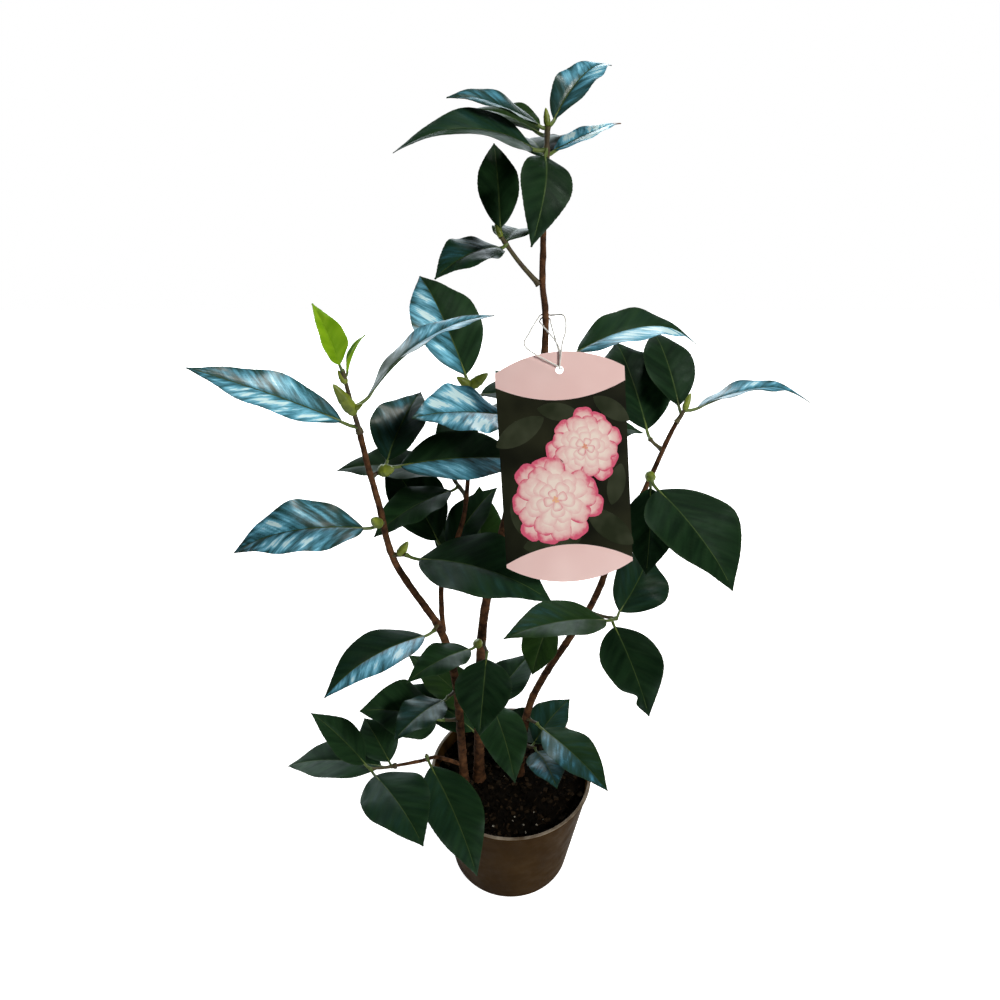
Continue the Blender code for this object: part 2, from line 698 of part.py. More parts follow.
def main():
    """Build the pot, the stems, the foliage and the label in order."""
    clear_scene()
    plastic = plain_material("pot_plastic", (0.115, 0.082, 0.058), 0.55)
    soil = plain_material("compost_dark", (0.018, 0.013, 0.010), 0.95)
    bark = plain_material("stem_bark", (0.110, 0.055, 0.033), 0.75)
    green = plain_material("leaf_green", (0.018, 0.055, 0.028), 0.35)
    card = plain_material("label_card", (0.72, 0.45, 0.46), 0.45)
    string = plain_material("string_white", (0.80, 0.80, 0.78), 0.8)
    build_pot(plastic)
    build_compost(soil)
    paths = {}
    taken = []
    for limb in LIMBS:
        path = limb_path(limb, paths)
        paths[limb.name] = path
        taken.extend(path.line)
        object_from(tube(path.line, path.radii, LIMB_SIDES), limb.name, bark)
    for shoot in SHOOTS:
        build_shoot(shoot, paths, taken, green)
    build_label(card)
    build_tie(paths["main_stem"], string)


main()
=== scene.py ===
"""Looks of a young camellia shrub in its nursery pot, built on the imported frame.

The stems carry bark, every shoot has its leaves, stalks and scaled buds, the pot is moulded plastic
with compost in it, and a printed label hangs on string. Metres, +Z up, in the frame's own axes.
"""

import logging
import math
import random
from collections.abc import Callable, Iterator
from dataclasses import dataclass, field, replace
from enum import Enum

import bpy
import numpy as np
from mathutils import Matrix, Vector, noise


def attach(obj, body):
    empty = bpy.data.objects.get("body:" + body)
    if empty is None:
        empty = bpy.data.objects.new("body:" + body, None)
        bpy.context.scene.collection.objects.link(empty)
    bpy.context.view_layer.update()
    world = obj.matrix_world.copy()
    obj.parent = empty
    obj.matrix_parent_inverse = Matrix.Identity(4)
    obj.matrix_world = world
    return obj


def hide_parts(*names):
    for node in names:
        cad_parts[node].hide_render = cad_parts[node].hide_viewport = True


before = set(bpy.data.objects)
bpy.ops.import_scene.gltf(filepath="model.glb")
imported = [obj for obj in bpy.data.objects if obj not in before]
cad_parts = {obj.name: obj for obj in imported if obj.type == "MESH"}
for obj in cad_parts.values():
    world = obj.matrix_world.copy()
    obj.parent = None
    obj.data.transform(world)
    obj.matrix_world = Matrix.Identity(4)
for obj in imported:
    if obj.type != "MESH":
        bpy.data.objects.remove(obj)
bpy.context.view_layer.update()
LOG = logging.getLogger("camellia")

Array = np.ndarray
Colour = tuple[float, float, float]
Spot = tuple[float, float]
Piece = bpy.types.Object
Material = bpy.types.Material
Socket = bpy.types.NodeSocket
Feed = Socket | float | tuple

# Sizes shared with the solids
POT_TOP_RADIUS = 0.070
POT_BASE_RADIUS = 0.053
POT_HEIGHT = 0.112
POT_WALL = 0.0015
POT_FLOOR = 0.0020
RIM_LIP = 0.0012
RIM_HEIGHT = 0.004
SOIL_TOP = 0.101
BED_SHARE = (SOIL_TOP - POT_FLOOR) / (POT_HEIGHT - POT_FLOOR)
BED_RADIUS = POT_BASE_RADIUS - POT_WALL + (POT_TOP_RADIUS - RIM_LIP - POT_BASE_RADIUS) * BED_SHARE - 0.0001
GAP = 0.0003
LIMB_STEP = 0.020
STALK_RADIUS = 0.0011
STALK_SHARE = 0.10
TIP_HALF_WIDTH = 0.0005
HOOK_START = 0.60
LEAF_CLEARANCE = 0.0048
LABEL_WIDTH = 0.078
LABEL_HEIGHT = 0.141
LABEL_RISE = 0.011
LABEL_THICKNESS = 0.0008
LABEL_LEAN = math.radians(28.0)
LABEL_TWIST = math.radians(3.5)
LABEL_OUT = Vector((0, -math.cos(LABEL_LEAN), math.sin(LABEL_LEAN)))
LABEL_RISING = Vector((0, math.sin(LABEL_LEAN), math.cos(LABEL_LEAN)))
LABEL_UP = Matrix.Rotation(LABEL_TWIST, 3, LABEL_OUT) @ LABEL_RISING
LABEL_ACROSS = LABEL_UP.cross(LABEL_OUT).normalized()
LABEL_TOP = Vector((0.0255, -0.0140, 0.5200))
HOLE_RADIUS = 0.0024
HOLE_DROP = 0.011
STRING_RADIUS = 0.0005
STRING_STANDOFF = 0.0014
TIE_HEIGHT = 0.533
PUNCH_REACH = 0.004
TIE_TURNS = (-150, 180, 140, 100, 60, 20, -20)
TIE_SLANT = 0.0012
TIE_FRONT_RISE = 0.003
TIE_BACK_RISE = 0.001
TIE_BACK_REACH = 0.004


@dataclass(frozen=True)
class Limb:
    """One stem or bough: a tapering tube along a smooth line through a few points."""
    name: str
    points: tuple
    root_radius: float
    tip_radius: float
    grows_from: str = ""


class Age(Enum):
    """How old a leaf is, which decides its colour."""
    MATURE = "mature"
    YOUNG = "young"


class Flaw(Enum):
    """A mark that sets one leaf apart."""
    NONE = "none"
    DEAD_TIP = "dead_tip"
    BITTEN = "bitten"


@dataclass(frozen=True)
class Sheen:
    """How strongly a leaf is painted with a sky-blue reflection, a painted sheen, right and left of its
    midrib, how streaky that is, and its foot's share.
    """
    right: float = 0.0
    left: float = 0.0
    streak: float = 0.5
    foot: float = 1.0


@dataclass(frozen=True)
class Leaf:
    """One leaf: where it sits on its shoot (0 root, 1 tip), the way it points, and its size.

    The arch and the hook of the tip are shares of its length. Roll and twist are degrees about
    the midrib, at the foot and added by the tip.
    """
    at: float
    heading: float
    rise: float
    length: float
    width: float
    roll: float = 0.0
    arch: float = 0.07
    fold: float = 0.16
    twist: float = 0.0
    hook: float = 0.0
    sheen: Sheen = Sheen()
    age: Age = Age.MATURE
    flaw: Flaw = Flaw.NONE


@dataclass(frozen=True)
class Bud:
    """One scaled bud beside a leaf stalk or at a shoot's tip."""
    at: float
    heading: float
    rise: float
    length: float
    width: float


@dataclass(frozen=True)
class Shoot:
    """One mass of foliage: a short stem that springs from a limb, with its leaves and buds.

    height is where it springs from the limb's side; None puts it on the limb's tip. spares is the
    number of further leaves that the seeded rule adds round the shoot.
    """
    name: str
    limb: str
    height: float
    heading: float
    rise: float
    length: float
    radius: float
    leaves: tuple = ()
    buds: tuple = ()
    spares: int = 0
    seed: int = 1


LIMBS = (
    Limb("main_stem", ((-0.028, 0.0, SOIL_TOP + GAP), (-0.027, 0.0, 0.170), (-0.025, 0.0, 0.246),
                       (-0.019, 0.002, 0.312), (0.002, 0.004, 0.420), (0.018, 0.001, 0.513),
                       (0.0155, 0.0, 0.556), (0.015, 0.0, 0.602)), 0.0046, 0.0016),
    Limb("left_stem", ((-0.041, -0.003, SOIL_TOP + GAP), (-0.042, -0.008, 0.165),
                       (-0.044, -0.012, 0.230), (-0.051, -0.017, 0.285), (-0.057, -0.020, 0.307)),
         0.0036, 0.0029),
    Limb("right_stem", ((0.008, 0.004, SOIL_TOP + GAP), (0.010, 0.002, 0.150), (0.014, 0.0, 0.190),
                        (0.026, 0.0, 0.229), (0.060, 0.006, 0.299), (0.070, 0.010, 0.335)),
         0.0034, 0.0024),
    Limb("left_bough", ((-0.057, -0.020, 0.307), (-0.082, -0.024, 0.365), (-0.089, -0.026, 0.415),
                        (-0.094, -0.028, 0.452), (-0.096, -0.030, 0.474)), 0.0027, 0.0018,
         "left_stem"),
    Limb("inner_bough", ((-0.051, -0.014, 0.284), (-0.053, 0.003, 0.322), (-0.036, 0.015, 0.374),
                         (-0.030, 0.020, 0.437), (-0.028, 0.021, 0.466)), 0.0020, 0.0013,
         "left_stem"),
    Limb("right_bough", ((0.070, 0.010, 0.335), (0.083, 0.013, 0.372), (0.095, 0.016, 0.407),
                         (0.105, 0.018, 0.440), (0.110, 0.020, 0.452)), 0.0023, 0.0015,
         "right_stem"),
    Limb("low_bough", ((-0.042, -0.005, 0.124), (-0.063, -0.012, 0.143), (-0.076, -0.020, 0.148),
                       (-0.096, -0.028, 0.152)), 0.0018, 0.0013, "left_stem"),
    Limb("back_bough", ((-0.016, 0.003, 0.325), (-0.006, 0.024, 0.345), (0.012, 0.050, 0.372),
                        (0.022, 0.066, 0.392)), 0.0020, 0.0013, "main_stem"),
)

# Each leaf's sheen values give a sky-blue reflection painted onto its upper face, right and left of the
# midrib.
SHOOTS = (
    Shoot("top_shoot", "main_stem", None, 60, 88, 0.042, 0.0015, leaves=(
        Leaf(1.00, 57, 18, 0.073, 0.024, arch=0.10, hook=0.03, sheen=Sheen(1.25, 0.95, 0.2, 0.45)),
        Leaf(0.98, -170, 22, 0.056, 0.030, roll=-4, arch=0.03, hook=0.08,
             sheen=Sheen(0.70, 0.55, 0.4, 0.15)),
        Leaf(0.72, -154, 9, 0.086, 0.036, roll=-32, arch=0.14, twist=44, hook=0.08,
             sheen=Sheen(0.16, 0.06, 0.5)),
        Leaf(0.90, 137, 2, 0.065, 0.032),
        Leaf(0.74, -98, -25, 0.073, 0.028, roll=-20, arch=0.12),
        Leaf(0.66, 44, 7, 0.062, 0.017, arch=0.02, sheen=Sheen(1.35, 1.35, 0.2), flaw=Flaw.DEAD_TIP),
        Leaf(0.60, 98, -6, 0.070, 0.036),
    ), buds=(Bud(1.0, 120, 75, 0.009, 0.004),)),
    Shoot("upper_side_shoot", "main_stem", 0.553, 180, 52, 0.034, 0.0013, leaves=(
        Leaf(1.00, 95, 40, 0.062, 0.024),
        Leaf(0.90, 75, -10, 0.045, 0.026),
        Leaf(0.85, -122, 3, 0.070, 0.028, roll=-12, arch=0.07, sheen=Sheen(0.34, 0.12, 1.0)),
    ), buds=(Bud(1.0, 150, 60, 0.008, 0.004),)),
    Shoot("upper_right_shoot", "main_stem", 0.505, 16, 16, 0.012, 0.0012, leaves=(
        Leaf(0.9, 17, 2, 0.092, 0.042, arch=0.11, hook=0.08, sheen=Sheen(1.25, 0.06, 0.3)),
    )),
    Shoot("upper_left_shoot", "main_stem", 0.467, -149, 15, 0.012, 0.0012, leaves=(
        Leaf(0.9, -149, 16, 0.074, 0.046, roll=-14, arch=0.05, sheen=Sheen(1.15, 1.15, 0.4)),
    )),
    Shoot("left_tip_shoot", "left_bough", None, 160, 80, 0.040, 0.0014, leaves=(
        Leaf(1.00, -168, 74, 0.045, 0.016, roll=-60, fold=0.6, age=Age.YOUNG),
        Leaf(0.90, 10, 62, 0.030, 0.007, fold=0.5, age=Age.YOUNG),
        Leaf(0.06, 178, 21, 0.106, 0.034, roll=-12, arch=0.03, hook=-0.02, sheen=Sheen(0.84, 1.22, 0.7)),
        Leaf(0.40, 36, 18, 0.110, 0.034, roll=-38, arch=0.10, twist=42, sheen=Sheen(0.95, 1.05, 0.3, 0.05)),
    ), buds=(Bud(0.3, 200, 64, 0.024, 0.009), Bud(0.8, 160, 60, 0.009, 0.005),
             Bud(0.35, -30, 40, 0.010, 0.004))),
    Shoot("left_upper_shoot", "left_bough", 0.438, 30, 25, 0.010, 0.0012, leaves=(
        Leaf(0.9, 12, -5, 0.096, 0.046, roll=11, sheen=Sheen(0.95, 0.0, 0.4)),
        Leaf(0.7, 70, 22, 0.066, 0.038, fold=0.35, sheen=Sheen(0.12, 0.34, 0.4)),
    ), buds=(Bud(0.4, -20, 20, 0.011, 0.009),)),
    Shoot("left_side_shoot", "left_bough", 0.401, -112, 14, 0.005, 0.0012, leaves=(
        Leaf(0.9, -162, 3, 0.092, 0.048, roll=-8, arch=0.07, hook=0.04, sheen=Sheen(1.02, 1.16, 0.9, 0.8)),
    ), buds=(Bud(0.3, -110, 50, 0.014, 0.008),)),
    Shoot("left_lower_shoot", "left_bough", 0.372, -26, 20, 0.010, 0.0012, leaves=(
        Leaf(0.9, -27, 2, 0.108, 0.056, roll=6, arch=0.08, sheen=Sheen(0.13, 0.0, 1.0)),
    ), buds=(Bud(0.3, 20, 55, 0.012, 0.007),)),
    Shoot("left_stem_shoot", "left_stem", 0.303, -98, 12, 0.005, 0.0012, leaves=(
        Leaf(0.9, -140, -1, 0.093, 0.038, arch=0.09, hook=0.04, sheen=Sheen(0.08, 1.0, 0.2)),
    )),
    Shoot("inner_tip_shoot", "inner_bough", None, 110, 75, 0.010, 0.0012, leaves=(
        Leaf(1.0, 116, 30, 0.096, 0.048, sheen=Sheen(0.0, 1.05, 0.3)),
        Leaf(0.5, 20, -16, 0.070, 0.034),
    ), buds=(Bud(1.0, 190, 40, 0.012, 0.007), Bud(1.0, 0, 40, 0.015, 0.008))),
    Shoot("inner_low_shoot", "inner_bough", 0.330, 95, 50, 0.012, 0.0012, leaves=(
        Leaf(1.0, 140, 46, 0.082, 0.050),
        Leaf(0.4, 40, 40, 0.066, 0.034),
    )),
    Shoot("stem_low_shoot", "main_stem", 0.268, -110, 20, 0.010, 0.0012, leaves=(
        Leaf(0.9, -128, 18, 0.078, 0.027, roll=-10),
    ), buds=(Bud(0.6, -60, 60, 0.009, 0.008),)),
    Shoot("stem_front_shoot", "main_stem", 0.268, -75, 10, 0.014, 0.0012, leaves=(
        Leaf(0.9, -94, -14, 0.068, 0.042, arch=0.05),
    )),
    Shoot("stem_middle_shoot", "main_stem", 0.312, 110, 35, 0.012, 0.0012, leaves=(
        Leaf(1.0, 92, 50, 0.066, 0.034),
        Leaf(0.6, 135, 25, 0.066, 0.036),
    )),
    Shoot("left_knee_shoot", "left_stem", 0.224, -125, 15, 0.008, 0.0012, leaves=(
        Leaf(0.9, -124, 12, 0.066, 0.032, sheen=Sheen(0.22, 0.18, 0.4)),
    )),
    Shoot("left_foot_shoot", "left_stem", 0.187, -155, 25, 0.010, 0.0012, leaves=(
        Leaf(1.0, -162, 28, 0.074, 0.052, roll=-14),
    )),
    Shoot("stem_foot_shoot", "main_stem", 0.218, -62, 10, 0.012, 0.0012, leaves=(
        Leaf(1.0, -74, -12, 0.074, 0.036),
    )),
    Shoot("low_tip_shoot", "low_bough", None, -164, 10, 0.020, 0.0012, leaves=(
        Leaf(0.1, 168, -14, 0.098, 0.044),
        Leaf(1.0, 160, 46, 0.068, 0.032),
        Leaf(1.0, -56, 2, 0.086, 0.054, sheen=Sheen(0.10, 0.05, 0.4)),
        Leaf(0.1, 125, 20, 0.048, 0.034),
    )),
    Shoot("low_front_shoot", "low_bough", 0.146, -84, 64, 0.014, 0.0012, leaves=(
        Leaf(0.9, -64, -17, 0.103, 0.046, arch=0.05, sheen=Sheen(0.10, 0.03, 0.5)),
    )),
    Shoot("right_foot_shoot", "right_stem", 0.178, -50, 20, 0.010, 0.0012, leaves=(
        Leaf(0.9, -52, 1, 0.084, 0.037, arch=0.05, sheen=Sheen(0.60, 0.16, 0.6)),
    )),
    Shoot("right_low_shoot", "right_stem", 0.142, -40, 25, 0.010, 0.0012, leaves=(
        Leaf(1.0, -72, 12, 0.052, 0.032, sheen=Sheen(0.46, 0.46, 0.6)),
        Leaf(0.5, 42, 30, 0.052, 0.036, sheen=Sheen(0.22, 0.22, 0.3)),
    )),
    Shoot("right_bend_shoot", "right_stem", 0.284, 176, 10, 0.022, 0.0012, leaves=(
        Leaf(0.9, -120, -50, 0.048, 0.030),
    )),
    Shoot("right_fork_shoot", "right_stem", 0.292, -36, 16, 0.022, 0.0013, leaves=(
        Leaf(1.0, -152, 14, 0.098, 0.042, sheen=Sheen(0.20, 0.04, 1.0, 0.4)),
        Leaf(0.8, -74, -18, 0.080, 0.046, arch=0.05, flaw=Flaw.BITTEN),
        Leaf(1.0, 60, 20, 0.064, 0.046, roll=34, fold=0.5, sheen=Sheen(0.10, 0.10, 0.8)),
    )),
    Shoot("right_side_shoot", "right_bough", 0.410, -100, 15, 0.008, 0.0012, leaves=(
        Leaf(0.9, -65, -12, 0.100, 0.063, arch=0.05),
        Leaf(0.5, -96, -48, 0.066, 0.036),
    ), buds=(Bud(0.3, -120, 50, 0.011, 0.008),)),
    Shoot("right_upper_shoot", "right_bough", 0.430, 140, 25, 0.010, 0.0012, leaves=(
        Leaf(0.9, 103, 25, 0.088, 0.054),
    )),
    Shoot("right_tip_shoot", "right_bough", None, 30, 55, 0.008, 0.0012, leaves=(
        Leaf(1.0, 10, 6, 0.088, 0.030, roll=-26, arch=0.07, twist=18, hook=0.11,
             sheen=Sheen(1.02, 1.02, 0.3, 0.6)),
        Leaf(0.6, 98, 18, 0.082, 0.035),
    ), buds=(Bud(1.0, 50, 60, 0.012, 0.005),)),
    Shoot("back_tip_shoot", "back_bough", None, 70, 40, 0.040, 0.0013, spares=6, seed=11),
    Shoot("back_left_shoot", "inner_bough", 0.392, 118, 10, 0.030, 0.0013, spares=4, seed=8),
    Shoot("back_foot_shoot", "main_stem", 0.125, 85, 30, 0.040, 0.0013, spares=5, seed=5),
)

# Size of the leaves that the seeded rule adds, where they sit and how far it may turn each one
SPARE_START = 0.35
SPARE_LENGTH = (0.068, 0.090)
SPARE_SLIMNESS = (0.44, 0.52)
SPARE_RISE = (-14.0, 26.0)
SPARE_FAN = (12.0, 85.0)
SPARE_TURNS = (0, 18, -18, 36, -36)

# Shape shared by every limb and leaf
LIMB_JOIN = 0.004
LEAF_CURVE = 0.86
LEAF_FULLNESS = 0.82
TIP_NARROWING = 0.45
SHOOT_LIFT = 0.10
SAMPLE_ROWS = 11
SAMPLE_FOOT = 15

# Leaves of the three upper tones, by how often each is drawn
UPPER_TONES = (0, 0, 1, 1, 2)


# ---- the plant's own rule of growth


def direction(heading: float, rise: float) -> Vector:
    """Return the unit vector at a heading, from +X towards +Y, and a rise, both in degrees."""
    turn, lift = math.radians(heading), math.radians(rise)
    return Vector((math.cos(turn) * math.cos(lift), math.sin(turn) * math.cos(lift), math.sin(lift)))


def smooth_line(points: tuple | list | Array, step: float) -> list[Vector]:
    """Run a Catmull-Rom curve through points.

    Args:
        points: the places that the curve passes.
        step: about how far apart the curve's own points are.

    Returns:
        The points along the curve.
    """
    knots = [Vector(p) for p in points]
    knots = [2 * knots[0] - knots[1], *knots, 2 * knots[-1] - knots[-2]]
    line = []
    for a, b, c, d in zip(knots, knots[1:], knots[2:], knots[3:]):
        count = max(1, round((c - b).length / step))
        for i in range(count):
            t = i / count
            line.append(0.5 * (2 * b + (c - a) * t + (2 * a - 5 * b + 4 * c - d) * t * t
                               + (3 * b - a - 3 * c + d) * t ** 3))
    line.append(knots[-2])
    return line


@dataclass
class Path:
    """A limb's centre line with its radius at each point."""
    line: list
    root_radius: float
    tip_radius: float

    def place(self, height: float | None) -> tuple[Vector, Vector, float]:
        """Find a place on the limb.

        Args:
            height: metres above the floor, or None for the limb's tip.

        Returns:
            The point, the limb's direction there and its radius.
        """
        if height is None:
            along = (self.line[-1] - self.line[-2]).normalized()
            return self.line[-1], along, self.tip_radius
        for i, (low, high) in enumerate(zip(self.line, self.line[1:])):
            if low.z <= height <= high.z:
                share = (height - low.z) / (high.z - low.z)
                taper = (self.tip_radius - self.root_radius) * (i + share) / (len(self.line) - 1)
                return low.lerp(high, share), (high - low).normalized(), self.root_radius + taper
        raise ValueError(f"no limb at height {height}")


def clear_start(path: Path, height: float | None, onward: Vector, radius: float) -> Vector:
    """Find where a tube that leaves a limb starts, a gap clear of it.

    Args:
        path: the limb.
        height: where on the limb, or None for its tip.
        onward: the tube's direction.
        radius: the tube's radius.

    Returns:
        The tube's first point.
    """
    point, along, limb_radius = path.place(height)
    cosine = abs(along.dot(onward))
    sine = math.sqrt(max(1.0 - cosine * cosine, 0.04))
    if height is None:
        return point + onward * ((GAP + radius * sine) / max(cosine, 0.2))
    return point + onward * ((limb_radius + GAP + radius * cosine) / sine)


def limb_path(limb: Limb, paths: dict[str, Path]) -> Path:
    """Lay a limb's line, moved off the limb that it grows from.

    Args:
        limb: the limb's sizes.
        paths: the limbs laid so far.

    Returns:
        The limb's path.
    """
    line = smooth_line(limb.points, LIMB_STEP)
    if limb.grows_from:
        parent = paths[limb.grows_from]
        onward = (line[1] - line[0]).normalized()
        at_tip = (line[0] - parent.line[-1]).length < LIMB_JOIN
        start = clear_start(parent, None if at_tip else line[0].z, onward, limb.root_radius)
        line[0] = start
        if (line[1] - start).dot(onward) < LIMB_STEP * 0.4:
            del line[1]
    return Path(line, limb.root_radius, limb.tip_radius)


def half_width(share: Array, width: float) -> Array:
    """Work out a blade's half width, which is never less than its tip's.

    Args:
        share: places from its foot, 0, to its tip, 1.
        width: its greatest width.

    Returns:
        The half width at each place.
    """
    body = np.maximum(np.sin(np.pi * np.clip(share, 0.0, 1.0) ** LEAF_CURVE), 0.0) ** LEAF_FULLNESS
    drawn_in = 1.0 - TIP_NARROWING * np.clip(share, 0.0, 1.0) ** 5
    return np.maximum(0.5 * width * body * drawn_in, TIP_HALF_WIDTH)


def leaf_axes(leaf: Leaf) -> tuple[Array, Array, Array]:
    """Work out a leaf's axes.

    Args:
        leaf: the leaf's sizes.

    Returns:
        Its length, side and upper-face directions.
    """
    along = direction(leaf.heading, leaf.rise)
    side = Matrix.Rotation(math.radians(leaf.roll), 3, along) @ Vector((0, 0, 1)).cross(along).normalized()
    return np.array(along), np.array(side), np.array(along.cross(side).normalized())


def tip_hook(leaf: Leaf, share: Array) -> Array:
    """Return how far a leaf's tip hangs below its arch at each place."""
    blade = leaf.length * (1.0 - STALK_SHARE)
    return leaf.hook * blade * np.maximum(0.0, (share - HOOK_START) / (1.0 - HOOK_START)) ** 2


def plain_blade(leaf: Leaf, node: Array, share: Array, across: Array) -> Array:
    """Place points on a blade's middle surface, before any fine relief.

    Args:
        leaf: the leaf's sizes.
        node: where its stalk leaves the shoot.
        share: places along the blade.
        across: places across it, from -1 to 1.

    Returns:
        The points, one row each.
    """
    along, side, upper = leaf_axes(leaf)
    blade = leaf.length * (1.0 - STALK_SHARE)
    root = node + along * (leaf.length * STALK_SHARE)
    half = half_width(share, leaf.width)
    lift = leaf.arch * blade * 4.0 * share * (1.0 - share)
    lift = lift - tip_hook(leaf, share)
    raised = leaf.fold * np.abs(across) * half * np.sin(np.pi * np.minimum(share * 1.1, 1.0)) ** 0.5
    turn = math.radians(leaf.twist) * share
    wide = across * half * np.cos(turn) - raised * np.sin(turn)
    high = across * half * np.sin(turn) + raised * np.cos(turn)
    return root + np.outer(share * blade, along) + np.outer(wide, side) + np.outer(high + lift, upper)


def shoot_line(shoot: Shoot, paths: dict[str, Path]) -> list[Vector]:
    """Lay a shoot's stem, curving a little upwards from its limb.

    Args:
        shoot: the shoot's sizes.
        paths: the limbs' paths by name.

    Returns:
        The stem's points.
    """
    onward = direction(shoot.heading, shoot.rise)
    start = clear_start(paths[shoot.limb], shoot.height, onward, shoot.radius)
    lift = Vector((0, 0, SHOOT_LIFT * shoot.length))
    end = start + onward * shoot.length
    return [start, start.lerp(end, 0.5) - lift * 0.4, end]


def along_line(line: list[Vector], share: float) -> Vector:
    """Find a place on a line.

    Args:
        line: the line's points.
        share: how far along it the place is, from 0 to 1.

    Returns:
        The point there.
    """
    lengths = [(b - a).length for a, b in zip(line, line[1:])]
    left = share * sum(lengths)
    for a, b, length in zip(line, line[1:], lengths):
        if left <= length:
            return a.lerp(b, left / length)
        left -= length
    return line[-1]


def leaf_samples(leaf: Leaf, node: Array) -> Array:
    """Return points all over a blade, to measure its distance from others."""
    share = np.repeat(np.arange(SAMPLE_ROWS) / (SAMPLE_ROWS - 1), 5)
    return plain_blade(leaf, node, share, np.tile(np.array((-1, -0.5, 0, 0.5, 1)), SAMPLE_ROWS))


def is_clear(samples: Array, taken: list[Array]) -> bool:
    """Return whether samples keep their distance from every point that is taken."""
    gaps = ((samples[:, None, :] - np.concatenate(taken)[None, :, :]) ** 2).sum(axis=2)
    return bool(gaps.min() > LEAF_CLEARANCE ** 2)


def spare_leaves(shoot: Shoot) -> Iterator[Leaf]:
    """Draw the leaves of the seeded rule, to the left and right of the shoot by turns.

    Args:
        shoot: the shoot's sizes.

    Returns:
        The leaves, one after the other.
    """
    rule = random.Random(shoot.seed)
    for k in range(shoot.spares):
        length = rule.uniform(*SPARE_LENGTH)
        yield Leaf(
            at=SPARE_START + (1.0 - SPARE_START) * k / max(shoot.spares - 1, 1),
            heading=shoot.heading + (-1) ** k * rule.uniform(*SPARE_FAN),
            rise=rule.uniform(*SPARE_RISE),
            length=length,
            width=length * rule.uniform(*SPARE_SLIMNESS),
        )


def grow_leaves(shoot: Shoot, line: list[Vector], taken: list[Array]) -> list[Leaf]:
    """Grow a shoot's leaves: its own, then those of the rule that stay clear.

    Args:
        shoot: the shoot's sizes.
        line: its stem line.
        taken: points already held by the plant, which the new leaves join.

    Returns:
        The leaves that grew.
    """
    grown = list(shoot.leaves)
    for leaf in grown:
        taken.append(leaf_samples(leaf, np.array(along_line(line, leaf.at))))
    for leaf in spare_leaves(shoot):
        for turn in SPARE_TURNS:
            trial = replace(leaf, heading=leaf.heading + turn)
            samples = leaf_samples(trial, np.array(along_line(line, trial.at)))
            if is_clear(samples[SAMPLE_FOOT:], taken):
                taken.append(samples)
                grown.append(trial)
                break
    return grown


@dataclass
class GrownShoot:
    """One shoot as it stands: its stem line and the leaves that grew on it."""
    shoot: Shoot
    line: list
    leaves: list

    def node(self, at: float) -> Array:
        """Return the place at a share of its stem."""
        return np.array(along_line(self.line, at))


@dataclass
class Plant:
    """The whole plant's skeleton: limb paths and grown shoots."""
    paths: dict
    shoots: list

    @classmethod
    def grow(cls) -> "Plant":
        """Grow the limbs, then the shoots in their order.

        Returns:
            The grown plant.
        """
        paths: dict[str, Path] = {}
        for limb in LIMBS:
            paths[limb.name] = limb_path(limb, paths)
        taken = [np.array([tuple(p) for p in path.line]) for path in paths.values()]
        shoots = []
        for shoot in SHOOTS:
            line = shoot_line(shoot, paths)
            shoots.append(GrownShoot(shoot, line, grow_leaves(shoot, line, taken)))
        return cls(paths, shoots)


# ---- materials

# Noise mostly lies between these two values
NOISE_SPAN = (0.3, 0.7)

# The inputs that every effect with a noise pattern takes, by their kinds
PATTERN_SOCKETS = {"Place": "Vector", "Stretch": "Vector", "Scale": "Float", "Detail": "Float",
                   "Finer": "Float"}


@dataclass(frozen=True)
class Pattern:
    """A noise pattern: its patches per metre, the number and strength of finer layers, its stretch."""
    scale: float
    detail: float = 3.0
    finer: float = 0.55
    stretch: tuple = (1.0, 1.0, 1.0)

    def at(self, place: Socket) -> dict[str, Feed]:
        """Return what a noise takes in to lie over a surface by its places."""
        return {"Place": place, "Stretch": self.stretch, "Scale": self.scale, "Detail": self.detail,
                "Finer": self.finer}


class Effect(Enum):
    """An effect that several materials share, by the name of its node group."""
    GRAIN = "grain"
    TWO_TONE = "two_tone"
    LEAF_WAX = "leaf_wax"


